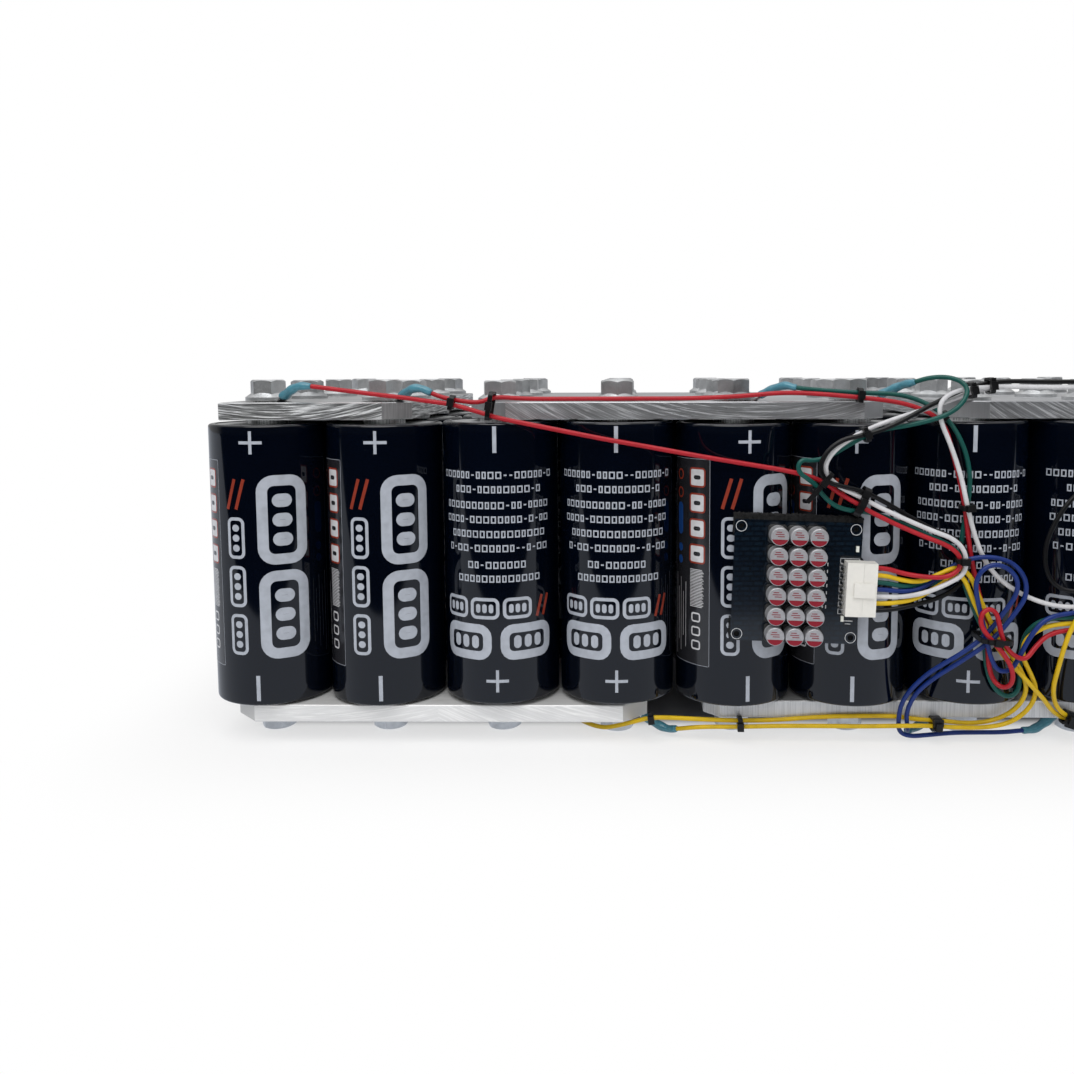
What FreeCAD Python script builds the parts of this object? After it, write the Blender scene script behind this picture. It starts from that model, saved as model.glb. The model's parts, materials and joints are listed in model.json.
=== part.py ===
import FreeCAD, Part
import math
import os
import Sketcher
from FreeCAD import Placement, Rotation, Vector

# A bank of cylindrical lithium titanate cells, bolted between sawn aluminium bars.
# Every two columns of cells are one parallel group, and six such groups are in series.
# The origin is on the floor under the middle of the pack, with +Z up.
# The front, where the balancer boards and the wires hang, faces -Y.

driving_sizes = (
    ("column_count", 12, "columns of cells, left to right"),
    ("row_count", 4, "rows of cells, front to back"),
    ("can_diameter", 66, "bare can"),
    ("can_length", 158.5, "bare can, end to end, without its terminals"),
    ("can_edge", 1.2, "rounded edge of the can"),
    ("terminal_diameter", 24, "raised terminal in the middle of each end"),
    ("plus_terminal_height", 2.6, "positive terminal above the can's end"),
    ("minus_terminal_height", 1.4, "negative terminal above the can's end"),
    ("thread_bore", 12.2, "threaded hole in a terminal"),
    ("thread_depth", 17, "depth of that hole below the terminal's face"),
    ("sleeve_wall", 0.4, "heat-shrink sleeve"),
    ("sleeve_lip", 3.5, "how far the sleeve folds in over the can's end"),
    ("sleeve_clearance", 0.05, "between the sleeve and the can"),
    ("cell_gap", 1.1, "between the sleeves of neighbouring cells, both ways"),
    ("bar_thickness", 10, "aluminium bars"),
    ("bar_overhang", 20, "bar past the bolt row, front and back"),
    ("bar_margin", 17.5, "bar past its last bolt column, left and right"),
    ("end_margin", 21.4, "the same at the free end of the first and last top bar"),
    ("front_step", 28.5, "first bottom bar past the front bolt row"),
    ("small_cut", 9, "narrow sawn corner"),
    ("middle_cut", 14, "usual sawn corner"),
    ("large_cut", 23, "wide sawn corner"),
    ("bar_edge", 0.5, "bevel left by the file on a bar's edges"),
    ("bar_hole", 13, "bolt holes in the bars"),
    ("across_flats", 18, "hexagon of a bolt"),
    ("head_height", 12, "whole bolt head, flange and all"),
    ("flange_diameter", 25.5, "flange of a bolt"),
    ("flange_edge", 1.9, "thickness of the flange's rim"),
    ("flange_slope", 2.6, "height of the flange's cone above its rim"),
    ("crown_diameter", 16.8, "flat top of the head inside the hexagon's bevel"),
    ("dish_diameter", 11, "hollow in the head's top"),
    ("dish_depth", 0.6, "depth of that hollow"),
    ("shank_diameter", 12, "thread of a bolt"),
    ("shank_length", 25, "shank under the head"),
    ("board_width", 70, "balancer board, along the pack"),
    ("board_height", 67.5, "balancer board, up and down"),
    ("board_thickness", 1.6, "balancer board"),
    ("board_stand_off", 4.6, "foam between the board and the cells' sleeves"),
    ("board_drop", 7.3, "middle of a board below the cells' middle"),
    ("board_shift", 3, "first board, left of the gap it hangs over"),
    ("board_tilt", 2.1, "degrees that the boards hang askew"),
    ("board_hole", 3.2, "fixing holes in the board's corners"),
    ("hole_inset", 3.6, "fixing holes from the board's edges"),
    ("pad_width", 12, "foam strip, up and down"),
    ("pad_overlap", 3, "foam past the board's top edge"),
    ("pad_wrap", 2.4, "how far the foam is pressed in around the sleeves"),
    ("pad_clearance", 0.05, "between the foam and the sleeves"),
    ("capacitor_diameter", 10, "can capacitor"),
    ("capacitor_height", 10.2, "can capacitor above the board"),
    ("capacitor_base", 10.3, "square base of a capacitor"),
    ("base_height", 1.6, "thickness of that base"),
    ("base_corner", 2, "cut corners of that base"),
    ("capacitor_column", 10.6, "between capacitor columns"),
    ("capacitor_row", 11, "between capacitor rows"),
    ("capacitor_shift", 1, "capacitors, left of and below the board's middle"),
    ("capacitor_edge", 0.7, "rounded rim of a capacitor"),
    ("crimp_radius", 0.6, "groove rolled around a capacitor"),
    ("pin_pitch", 3.96, "between the pins of the header"),
    ("pin_count", 7, "ways of the header"),
    ("header_inset", 9.3, "header's back from the board's side edge"),
    ("header_depth", 9, "header, from its back to its mouth"),
    ("header_tall", 8.9, "header above the board"),
    ("header_wall", 1.1, "walls of the header"),
    ("header_side", 2.9, "header past its outer pins"),
    ("header_drop", 1.4, "middle of the header below the board's middle"),
    ("pin_width", 1.1, "square header pin"),
    ("pin_foot", 1.7, "pin's leg behind the header"),
    ("pin_clearance", 0.05, "around a pin in the header and the plug"),
    ("solder_diameter", 2.4, "solder joint at a pin's leg"),
    ("solder_height", 0.9, "solder joint above the board"),
    ("lamp_length", 1.6, "indicator lamp, along the pack"),
    ("lamp_width", 3.2, "indicator lamp, up and down"),
    ("lamp_height", 1.1, "indicator lamp above the board"),
    ("lamp_inset", 3.3, "upper lamp's left side from the board's side edge"),
    ("lamp_stagger", 6.4, "lower lamp, left of the upper one"),
    ("lamp_up", 18, "upper lamp above the board's middle"),
    ("lamp_down", 21, "lower lamp below it"),
    ("plug_out", 7.5, "plug past the header's mouth"),
    ("plug_clearance", 0.1, "between the plug and the header's walls"),
    ("latch_hook", 5, "latch over the header's wall"),
    ("latch_width", 8, "latch, up and down"),
    ("latch_thickness", 1.2, "latch past the header's wall"),
    ("wire_diameter", 2.6, "balance wire over its insulation"),
    ("wire_clearance", 0.15, "between a wire and the hole it goes into"),
    ("wire_depth", 5, "how far a wire goes into its hole"),
    ("wire_run_out", 2.5, "straight wire past its terminal's insulating sleeve"),
    ("tie_thickness", 1.2, "strap of a cable tie"),
    ("tie_bend", 1.4, "inside of a strap's rounded turns"),
    ("tie_head_long", 4.6, "head of a tie, along its strap"),
    ("tie_head_wide", 3.6, "head of a tie, across its strap"),
    ("tie_head_tall", 2.6, "head of a tie above its strap"),
    ("ring_diameter", 19.2, "ring terminal"),
    ("ring_thickness", 0.8, "ring terminal"),
    ("tongue_width", 6, "neck of a ring terminal"),
    ("tongue_reach", 13.6, "ring's centre to the bend of the neck"),
    ("neck_rise", 24, "degrees that the neck is bent up"),
    ("neck_length", 4, "neck from its bend to the insulating sleeve"),
    ("crimp_diameter", 3.6, "crimped barrel of a ring terminal"),
    ("crimp_length", 5, "crimped barrel of a ring terminal"),
    ("crimp_clearance", 0.05, "between the crimp and its insulating sleeve"),
    ("grip_diameter", 5.6, "insulating sleeve of a ring terminal"),
    ("grip_length", 13, "insulating sleeve of a ring terminal"),
)

# The distance between the axes of neighbouring cells, as a formula.
pitch = "(sizes.can_diameter + 2 * sizes.sleeve_clearance + 2 * sizes.sleeve_wall + sizes.cell_gap)"
tolerance = 1e-6

doc = FreeCAD.newDocument("battery_pack")
sheet = doc.addObject("Spreadsheet::Sheet", "sizes")
for line, (alias, value, note) in enumerate(driving_sizes, start=1):
    sheet.set(f"A{line}", alias)
    sheet.set(f"B{line}", str(value))
    sheet.set(f"C{line}", note)
    sheet.setAlias(f"B{line}", alias)
doc.recompute()


def size(alias):
    """The value that the sheet holds for one driving size."""
    return float(sheet.get(alias))


def add(kind, name, place=None, turn=None, **formulas):
    """A document object whose sizes, and place where given, follow the sheet."""
    item = doc.addObject(kind, name)
    item.Label = name
    if turn:
        item.Placement = Placement(Vector(), turn)
    for prop, formula in formulas.items():
        item.setExpression(prop, formula)
    for axis, formula in zip("xyz", place or ()):
        item.setExpression(f"Placement.Base.{axis}", formula)
    return item


def fuse(name, *items):
    """One solid out of several touching ones."""
    whole = doc.addObject("Part::MultiFuse", name)
    whole.Label = name
    whole.Shapes = list(items)
    whole.Refine = True
    return whole


def cut(name, base, tool):
    """The base with the tool's shape taken away."""
    rest = doc.addObject("Part::Cut", name)
    rest.Label = name
    rest.Base = base
    rest.Tool = tool
    return rest


def plane_of(body, role):
    """One origin plane or axis of a body."""
    return next(part for part in body.Origin.OriginFeatures if part.Role == role)


def outline(body, name, role, corners):
    """A closed sketch whose corners are pairs of formulas, measured from the origin."""
    sketch = body.newObject("Sketcher::SketchObject", name)
    sketch.AttachmentSupport = [(plane_of(body, role), "")]
    sketch.MapMode = "FlatFace"
    count = len(corners)
    for index in range(count):
        start = Vector(index, 0, 0)
        sketch.addGeometry(Part.LineSegment(start, start + Vector(0.5, 1, 0)), False)
    for index in range(count):
        sketch.addConstraint(Sketcher.Constraint("Coincident", index, 2, (index + 1) % count, 1))
    for index, (across, up) in enumerate(corners):
        for kind, axis, formula in (("DistanceX", -2, across), ("DistanceY", -1, up)):
            if formula == "0":
                sketch.addConstraint(Sketcher.Constraint("PointOnObject", index, 1, axis))
                continue
            number = sketch.addConstraint(Sketcher.Constraint(kind, -1, 1, index, 1, 1.0))
            sketch.setExpression(f"Constraints[{number}]", formula)
    return sketch


def spun(name, corners, rounded):
    """A body turned around Z from a profile, with the named edges rounded."""
    body = doc.addObject("PartDesign::Body", name)
    body.Label = name
    profile = outline(body, name + "_profile", "XZ_Plane", corners)
    turned = body.newObject("PartDesign::Revolution", name + "_turned")
    turned.Profile = profile
    turned.ReferenceAxis = (profile, ["V_Axis"])
    turned.Angle = 360
    doc.recompute()
    last = turned
    for step, (radius, height, formula) in enumerate(rounded):
        edge = next(
            number
            for number, candidate in enumerate(last.Shape.Edges, start=1)
            if abs(candidate.BoundBox.ZLength) < tolerance
            and abs(candidate.BoundBox.XMax - radius) < tolerance
            and abs(candidate.BoundBox.ZMax - height) < tolerance
        )
        fillet = body.newObject("PartDesign::Fillet", f"{name}_round_{step}")
        fillet.Base = (last, [f"Edge{edge}"])
        fillet.setExpression("Radius", formula)
        doc.recompute()
        last = fillet
    body.Tip = last
    return body


def make_can():
    """A sealed cell: the can with a raised, threaded terminal on each end, minus end down."""
    bore = "sizes.thread_bore / 2"
    terminal = "sizes.terminal_diameter / 2"
    wall = "sizes.can_diameter / 2"
    foot = "-sizes.minus_terminal_height"
    top = "sizes.can_length + sizes.plus_terminal_height"
    corners = (
        (bore, foot),
        (terminal, foot),
        (terminal, "0"),
        (wall, "0"),
        (wall, "sizes.can_length"),
        (terminal, "sizes.can_length"),
        (terminal, top),
        (bore, top),
        (bore, f"{top} - sizes.thread_depth"),
        ("0", f"{top} - sizes.thread_depth"),
        ("0", "sizes.thread_depth - sizes.minus_terminal_height"),
        (bore, "sizes.thread_depth - sizes.minus_terminal_height"),
    )
    radius = size("can_diameter") / 2
    rounded = ((radius, 0, "sizes.can_edge"), (radius, size("can_length"), "sizes.can_edge"))
    return spun("can", corners, rounded)


def make_sleeve():
    """A heat-shrink sleeve, folded in over both ends of its can."""
    lip = "sizes.can_diameter / 2 - sizes.sleeve_lip"
    inner = "sizes.can_diameter / 2 + sizes.sleeve_clearance"
    outer = f"{inner} + sizes.sleeve_wall"
    low = "-sizes.sleeve_clearance - sizes.sleeve_wall"
    high = "sizes.can_length + sizes.sleeve_clearance + sizes.sleeve_wall"
    corners = (
        (lip, low),
        (outer, low),
        (outer, high),
        (lip, high),
        (lip, "sizes.can_length + sizes.sleeve_clearance"),
        (inner, "sizes.can_length + sizes.sleeve_clearance"),
        (inner, "-sizes.sleeve_clearance"),
        (lip, "-sizes.sleeve_clearance"),
    )
    gap = size("sleeve_clearance")
    inside = size("can_diameter") / 2 + gap
    outside = inside + size("sleeve_wall")
    end = gap + size("sleeve_wall")
    outer_round = "sizes.can_edge + sizes.sleeve_clearance + sizes.sleeve_wall"
    inner_round = "sizes.can_edge + sizes.sleeve_clearance"
    rounded = (
        (outside, -end, outer_round),
        (outside, size("can_length") + end, outer_round),
        (inside, -gap, inner_round),
        (inside, size("can_length") + gap, inner_round),
    )
    return spun("sleeve", corners, rounded)


def make_bolt():
    """A hexagon flange bolt, its flange's face at Z = 0 and its shank below."""
    shank = add("Part::Cylinder", "bolt_shank", ("0", "0", "-sizes.shank_length"),
                Radius="sizes.shank_diameter / 2", Height="sizes.shank_length")
    flange = add("Part::Cylinder", "bolt_flange",
                 Radius="sizes.flange_diameter / 2", Height="sizes.flange_edge")
    slope = add("Part::Cone", "bolt_slope", ("0", "0", "sizes.flange_edge"),
                Radius1="sizes.flange_diameter / 2", Radius2="sizes.across_flats / 2",
                Height="sizes.flange_slope")
    hexagon = add("Part::Prism", "bolt_hexagon", ("0", "0", "sizes.flange_edge"),
                  Circumradius="sizes.across_flats / sqrt(3)",
                  Height="sizes.head_height - sizes.flange_edge")
    hexagon.Polygon = 6
    bevel = add("Part::Cone", "bolt_bevel", ("0", "0", "sizes.flange_edge"),
                Radius1="sizes.crown_diameter / 2 + (sizes.head_height - sizes.flange_edge) / tan(30)",
                Radius2="sizes.crown_diameter / 2",
                Height="sizes.head_height - sizes.flange_edge")
    head = doc.addObject("Part::Common", "bolt_head")
    head.Base = hexagon
    head.Tool = bevel
    dish = add("Part::Cone", "bolt_dish", ("0", "0", "sizes.head_height - sizes.dish_depth"),
               Radius1="sizes.dish_diameter / 2 - sizes.dish_depth",
               Radius2="sizes.dish_diameter / 2", Height="sizes.dish_depth")
    return cut("bolt", fuse("bolt_blank", shank, flange, slope, head), dish)


def make_bar(name, first, last, margins, cuts, front, foot):
    """A sawn bar with cut corners, filed edges and a hole for every bolt."""
    body = doc.addObject("PartDesign::Body", name)
    body.Label = name
    left = f"-sizes.{margins[0]}"
    right = f"{last - first} * {pitch} + sizes.{margins[1]}"
    near = f"-sizes.{front}"
    far = f"(sizes.row_count - 1) * {pitch} + sizes.bar_overhang"
    corners = []
    for side, sign, saw in ((left, "+", cuts[0]), (right, "-", cuts[1])):
        if saw is None:
            ends = [(side, near), (side, far)]
        else:
            ends = [
                (f"{side} {sign} sizes.{saw}", near),
                (side, f"{near} + sizes.{saw}"),
                (side, f"{far} - sizes.{saw}"),
                (f"{side} {sign} sizes.{saw}", far),
            ]
        corners += ends if sign == "-" else ends[::-1]
    plan = outline(body, name + "_outline", "XY_Plane", corners)
    slab = body.newObject("PartDesign::Pad", name + "_slab")
    slab.Profile = plan
    slab.setExpression("Length", "sizes.bar_thickness")
    doc.recompute()
    rims = [
        f"Edge{number}"
        for number, edge in enumerate(slab.Shape.Edges, start=1)
        if edge.BoundBox.ZLength < tolerance
    ]
    filed = body.newObject("PartDesign::Chamfer", name + "_filed")
    filed.Base = (slab, rims)
    filed.setExpression("Size", "sizes.bar_edge")
    body.Tip = filed
    doc.recompute()
    holes = body.newObject("Sketcher::SketchObject", name + "_holes")
    holes.AttachmentSupport = [(plane_of(body, "XY_Plane"), "")]
    holes.MapMode = "FlatFace"
    for column in range(last - first + 1):
        for row in range(int(size("row_count"))):
            centre = Vector(column * cell_pitch, row * cell_pitch, 0)
            mark = holes.addGeometry(Part.Circle(centre, Vector(0, 0, 1), size("bar_hole") / 2), False)
            limits = [("Radius", (mark, 1.0), "sizes.bar_hole / 2")]
            for kind, axis, steps in (("DistanceX", -2, column), ("DistanceY", -1, row)):
                if steps == 0:
                    holes.addConstraint(Sketcher.Constraint("PointOnObject", mark, 3, axis))
                else:
                    limits.append((kind, (-1, 1, mark, 3, 1.0), f"{steps} * {pitch}"))
            for kind, ends, formula in limits:
                number = holes.addConstraint(Sketcher.Constraint(kind, *ends))
                holes.setExpression(f"Constraints[{number}]", formula)
    drilled = body.newObject("PartDesign::Pocket", name + "_drilled")
    drilled.Profile = holes
    drilled.Type = "ThroughAll"
    drilled.Reversed = True
    body.Tip = drilled
    body.setExpression("Placement.Base.x", f"({first} - (sizes.column_count - 1) / 2) * {pitch}")
    body.setExpression("Placement.Base.y", front_row_formula)
    body.setExpression("Placement.Base.z", foot)
    return body


def make_capacitor():
    """A can capacitor on its square base, standing on Z = 0."""
    can = spun(
        "capacitor_can",
        (
            ("0", "0"),
            ("sizes.capacitor_diameter / 2", "0"),
            ("sizes.capacitor_diameter / 2", "sizes.capacitor_height"),
            ("0", "sizes.capacitor_height"),
        ),
        ((size("capacitor_diameter") / 2, size("capacitor_height"), "sizes.capacitor_edge"),),
    )
    crimp = add("Part::Torus", "capacitor_crimp", ("0", "0", "sizes.base_height + 2 * sizes.crimp_radius"),
                Radius1="sizes.capacitor_diameter / 2 + sizes.crimp_radius / 3",
                Radius2="sizes.crimp_radius")
    block = add("Part::Box", "capacitor_block", ("-sizes.capacitor_base / 2", "-sizes.capacitor_base / 2", "0"),
                Length="sizes.capacitor_base", Width="sizes.capacitor_base", Height="sizes.base_height")
    corners = add("Part::Prism", "capacitor_corners",
                  Circumradius="sizes.capacitor_base - sizes.base_corner", Height="sizes.base_height")
    corners.Polygon = 4
    base = doc.addObject("Part::Common", "capacitor_foot")
    base.Base = block
    base.Tool = corners
    return fuse("capacitor", cut("capacitor_barrel", can, crimp), base)


# A board's pieces are drawn about the middle of its rear face, with X along the pack and
# the front towards -Y.
front_of_board = "-sizes.board_thickness"
header_back = "(sizes.board_width / 2 - sizes.header_inset)"
header_mouth = f"({header_back} + sizes.header_depth)"
header_length = "((sizes.pin_count - 1) * sizes.pin_pitch + 2 * sizes.header_side)"
header_floor = "2 * sizes.header_wall"
pin_level = "(-sizes.board_thickness - sizes.header_tall / 2)"
towards_front = Rotation(Vector(1, 0, 0), 90)
along_pack = Rotation(Vector(0, 1, 0), 90)


def pin_row(index):
    """Height of one pin above the middle of the header, as a formula."""
    return f"((sizes.pin_count - 1) / 2 - {index}) * sizes.pin_pitch"


def make_board():
    """The balancer's circuit board with its four fixing holes."""
    card = add("Part::Box", "board_card", ("-sizes.board_width / 2", front_of_board, "-sizes.board_height / 2"),
               Length="sizes.board_width", Width="sizes.board_thickness", Height="sizes.board_height")
    drills = []
    for across in "+-":
        for up in "+-":
            drill = add("Part::Cylinder", f"board_drill_{len(drills) + 1}",
                        (f"{across}(sizes.board_width / 2 - sizes.hole_inset)", "sizes.board_thickness",
                         f"{up}(sizes.board_height / 2 - sizes.hole_inset)"),
                        towards_front, Radius="sizes.board_hole / 2", Height="3 * sizes.board_thickness")
            drills.append(drill)
    return cut("board", card, fuse("board_drills", *drills))


def make_header():
    """The white pin header: a shroud open along the pack, with a hole for every pin."""
    shroud = add("Part::Box", "header_shroud",
                 (header_back, f"{front_of_board} - sizes.header_tall", f"-{header_length} / 2"),
                 Length="sizes.header_depth", Width="sizes.header_tall", Height=header_length)
    hollow = add("Part::Box", "header_hollow",
                 (f"{header_back} + {header_floor}",
                  f"{front_of_board} - sizes.header_tall + sizes.header_wall",
                  f"-{header_length} / 2 + sizes.header_wall"),
                 Length="sizes.header_depth", Width="sizes.header_tall - 2 * sizes.header_wall",
                 Height=f"{header_length} - 2 * sizes.header_wall")
    holes = []
    for index in range(int(size("pin_count"))):
        half = "(sizes.pin_width / 2 + sizes.pin_clearance)"
        hole = add("Part::Box", f"header_hole_{index + 1}",
                   (f"{header_back} - sizes.header_wall", f"{pin_level} - {half}", f"{pin_row(index)} - {half}"),
                   Length="sizes.header_depth", Width=f"2 * {half}", Height=f"2 * {half}")
        holes.append(hole)
    return cut("header", shroud, fuse("header_space", hollow, *holes))


def make_pin():
    """One header pin, through the shroud's back wall, with its solder joint on the board."""
    blade = add("Part::Box", "pin_blade",
                (f"{header_back} - sizes.pin_foot", f"{pin_level} - sizes.pin_width / 2", "-sizes.pin_width / 2"),
                Length="sizes.pin_foot + sizes.header_depth - sizes.header_wall",
                Width="sizes.pin_width", Height="sizes.pin_width")
    leg = add("Part::Box", "pin_leg",
              (f"{header_back} - sizes.pin_foot", f"{pin_level} - sizes.pin_width / 2", "-sizes.pin_width / 2"),
              Length="sizes.pin_width", Width="sizes.header_tall / 2 + sizes.pin_width / 2",
              Height="sizes.pin_width")
    joint = add("Part::Cone", "pin_joint",
                (f"{header_back} - sizes.pin_foot + sizes.pin_width / 2", front_of_board, "0"), towards_front,
                Radius1="sizes.solder_diameter / 2", Radius2="sizes.pin_width / 2",
                Height="sizes.solder_height")
    return fuse("pin", blade, leg, joint)


def make_plug():
    """The white plug: its nose in the header, its back with a hole for every wire, and its latch."""
    nose = add("Part::Box", "plug_nose",
               (f"{header_back} + {header_floor} + sizes.plug_clearance",
                f"{front_of_board} - sizes.header_tall + sizes.header_wall + sizes.plug_clearance",
                f"-{header_length} / 2 + sizes.header_wall + sizes.plug_clearance"),
               Length=f"sizes.header_depth - {header_floor} + sizes.plug_out / 2",
               Width="sizes.header_tall - 2 * sizes.header_wall - 2 * sizes.plug_clearance",
               Height=f"{header_length} - 2 * sizes.header_wall - 2 * sizes.plug_clearance")
    back = add("Part::Box", "plug_back",
               (f"{header_mouth} + sizes.plug_clearance",
                f"{front_of_board} - sizes.header_tall + sizes.plug_clearance",
                f"-{header_length} / 2 + sizes.plug_clearance"),
               Length="sizes.plug_out - sizes.plug_clearance",
               Width="sizes.header_tall - 3 * sizes.plug_clearance",
               Height=f"{header_length} - 2 * sizes.plug_clearance")
    latch = add("Part::Box", "plug_latch",
                (f"{header_mouth} - sizes.latch_hook",
                 f"{front_of_board} - sizes.header_tall - sizes.latch_thickness",
                 "-sizes.latch_width / 2"),
                Length="sizes.latch_hook + sizes.plug_out - sizes.header_wall",
                Width="sizes.latch_thickness - sizes.plug_clearance", Height="sizes.latch_width")
    root = add("Part::Box", "plug_root",
               (f"{header_mouth} + sizes.plug_out / 2",
                f"{front_of_board} - sizes.header_tall - sizes.plug_clearance",
                "-sizes.latch_width / 2"),
               Length="sizes.plug_out / 2 - sizes.header_wall", Width="3 * sizes.plug_clearance",
               Height="sizes.latch_width")
    bores = []
    for index in range(int(size("pin_count"))):
        half = "(sizes.pin_width / 2 + sizes.pin_clearance)"
        socket = add("Part::Box", f"plug_socket_{index + 1}",
                     (header_back, f"{pin_level} - {half}", f"{pin_row(index)} - {half}"),
                     Length="sizes.header_depth", Width=f"2 * {half}", Height=f"2 * {half}")
        entry = add("Part::Cylinder", f"plug_entry_{index + 1}",
                    (f"{header_mouth} + sizes.plug_out - sizes.wire_depth", pin_level, pin_row(index)),
                    along_pack, Radius="sizes.wire_diameter / 2 + sizes.wire_clearance",
                    Height="2 * sizes.wire_depth")
        bores += [socket, entry]
    return cut("plug", fuse("plug_body", nose, back, latch, root), fuse("plug_bores", *bores))


def make_ring():
    """A ring terminal: the ring flat on Z = 0, its neck bent up towards +X, and its crimp."""
    rise = size("neck_rise")
    up = Rotation(Vector(0, 1, 0), -rise)
    eye = add("Part::Cylinder", "ring_eye", Radius="sizes.ring_diameter / 2", Height="sizes.ring_thickness")
    tongue = add("Part::Box", "ring_tongue", ("0", "-sizes.tongue_width / 2", "0"),
                 Length="sizes.tongue_reach", Width="sizes.tongue_width", Height="sizes.ring_thickness")
    neck = add("Part::Box", "ring_neck", ("sizes.tongue_reach", "-sizes.tongue_width / 2", "0"), up,
               Length="sizes.neck_length", Width="sizes.tongue_width", Height="sizes.ring_thickness")
    crimp = add("Part::Cylinder", "ring_crimp", neck_point("sizes.neck_length - sizes.ring_thickness"),
                Rotation(Vector(0, 1, 0), 90 - rise),
                Radius="sizes.crimp_diameter / 2", Height="sizes.crimp_length")
    hole = add("Part::Cylinder", "ring_hole", Radius="sizes.bar_hole / 2", Height="sizes.ring_thickness")
    return cut("ring", fuse("ring_blank", eye, tongue, neck, crimp), hole)


def neck_point(distance):
    """The point on the crimp's axis, so far along the neck from its bend, as formulas."""
    lift = "sizes.crimp_diameter / 2"
    return (
        f"sizes.tongue_reach + ({distance}) * cos(sizes.neck_rise) - {lift} * sin(sizes.neck_rise)",
        "0",
        f"({distance}) * sin(sizes.neck_rise) + {lift} * cos(sizes.neck_rise)",
    )


def make_grip():
    """The insulating sleeve over a ring terminal's crimp, open for the crimp and the wire."""
    turn = Rotation(Vector(0, 1, 0), 90 - size("neck_rise"))
    barrel = add("Part::Cylinder", "grip_barrel", neck_point("sizes.neck_length + sizes.crimp_clearance"), turn,
                 Radius="sizes.grip_diameter / 2", Height="sizes.grip_length")
    seat = add("Part::Cylinder", "grip_seat", neck_point("sizes.neck_length - sizes.crimp_length"), turn,
               Radius="sizes.crimp_diameter / 2 + sizes.crimp_clearance",
               Height="2 * sizes.crimp_length")
    entry = add("Part::Cylinder", "grip_entry",
                neck_point("sizes.neck_length + sizes.grip_length - sizes.wire_depth"), turn,
                Radius="sizes.wire_diameter / 2 + sizes.wire_clearance", Height="2 * sizes.wire_depth")
    return cut("grip", barrel, fuse("grip_bores", seat, entry))


# How the pack stacks up from the floor, and where its front bolt row stands so that the
# origin is under the middle of everything but the wires.
sleeve_radius = "(sizes.can_diameter / 2 + sizes.sleeve_clearance + sizes.sleeve_wall)"
sleeve_outside = size("can_diameter") / 2 + size("sleeve_clearance") + size("sleeve_wall")
cell_pitch = 2 * sleeve_outside + size("cell_gap")
front_row_formula = (
    "(sizes.board_stand_off + sizes.board_thickness + sizes.capacitor_height) / 2"
    f" - (sizes.row_count - 1) / 2 * {pitch}"
)
front_row = (
    (size("board_stand_off") + size("board_thickness") + size("capacitor_height")) / 2
    - (size("row_count") - 1) / 2 * cell_pitch
)
lower_bar_foot = size("head_height") + size("ring_thickness")
lower_bar_top = lower_bar_foot + size("bar_thickness")
cell_height = size("can_length") + size("plus_terminal_height") + size("minus_terminal_height")
upper_bar_foot = lower_bar_top + cell_height
upper_bar_top = upper_bar_foot + size("bar_thickness")
columns = int(size("column_count"))
rows = int(size("row_count"))
group_columns = 2
bolt_turn = 17
group_count = columns // group_columns


def column_at(column):
    """X of a column of cells, counted from 0 at the left."""
    return (column - (columns - 1) / 2) * cell_pitch


def row_at(row):
    """Y of a row of cells, counted from 0 at the front."""
    return front_row + row * cell_pitch


def array(name, master, places, place=None):
    """A named set of copies of one piece."""
    copies = doc.addObject("App::Link", name)
    copies.LinkedObject = master
    copies.Label = name
    copies.ShowElement = False
    copies.ElementCount = len(places)
    doc.recompute()
    copies.PlacementList = places
    if place:
        copies.Placement = place
    return copies


upside_down = Rotation(Vector(1, 0, 0), 180)
nodes = []

can = make_can()
sleeve = make_sleeve()
bolt = make_bolt()
board = make_board()
capacitor = make_capacitor()
header = make_header()
pin = make_pin()
plug = make_plug()
lamp = add("Part::Box", "lamp",
           Length="sizes.lamp_length", Width="sizes.lamp_height", Height="sizes.lamp_width")
ring = make_ring()
grip = make_grip()
doc.recompute()

for group in range(group_count):
    plus_up = group % 2 == 0
    places = []
    for column in range(group * group_columns, (group + 1) * group_columns):
        for row in range(rows):
            if plus_up:
                foot = lower_bar_top + size("minus_terminal_height")
                turn = Rotation()
            else:
                foot = lower_bar_top + size("plus_terminal_height") + size("can_length")
                turn = upside_down
            places.append(Placement(Vector(column_at(column), row_at(row), foot), turn))
    nodes.append(array(f"cells_{group + 1}", can, places))
    nodes.append(array(f"cell_sleeves_{group + 1}", sleeve, places))

# Each ring terminal: which set of wires, colour, bar level, bolt column and row, and the
# way its neck points, in degrees from +X.
terminals = (
    (1, "red", "top", 0, 0, -40),
    (1, "yellow_left", "bottom", 3, 1, -120),
    (1, "green", "top", 5, 0, -30),
    (1, "blue", "bottom", 6, 0, -160),
    (1, "white", "top", 8, 0, -140),
    (1, "yellow_right", "bottom", 8, 0, -150),
    (1, "black", "top", 10, 0, -140),
    (2, "red", "top", 1, 0, -40),
    (2, "yellow_left", "bottom", 3, 0, -25),
    (2, "green", "top", 4, 0, -30),
    (2, "blue", "bottom", 7, 0, -155),
    (2, "white", "top", 9, 0, -140),
    (2, "yellow_right", "bottom", 9, 0, -150),
    (2, "black", "top", 11, 0, -140),
)


def terminal_place(level, column, row, heading):
    """Where a ring terminal lies on the outer face of its bar."""
    turn = Rotation(Vector(0, 0, 1), heading)
    if level == "top":
        return Placement(Vector(column_at(column), row_at(row), upper_bar_top), turn)
    place = Vector(column_at(column), row_at(row), lower_bar_foot)
    return Placement(place, turn.multiply(upside_down))


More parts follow.
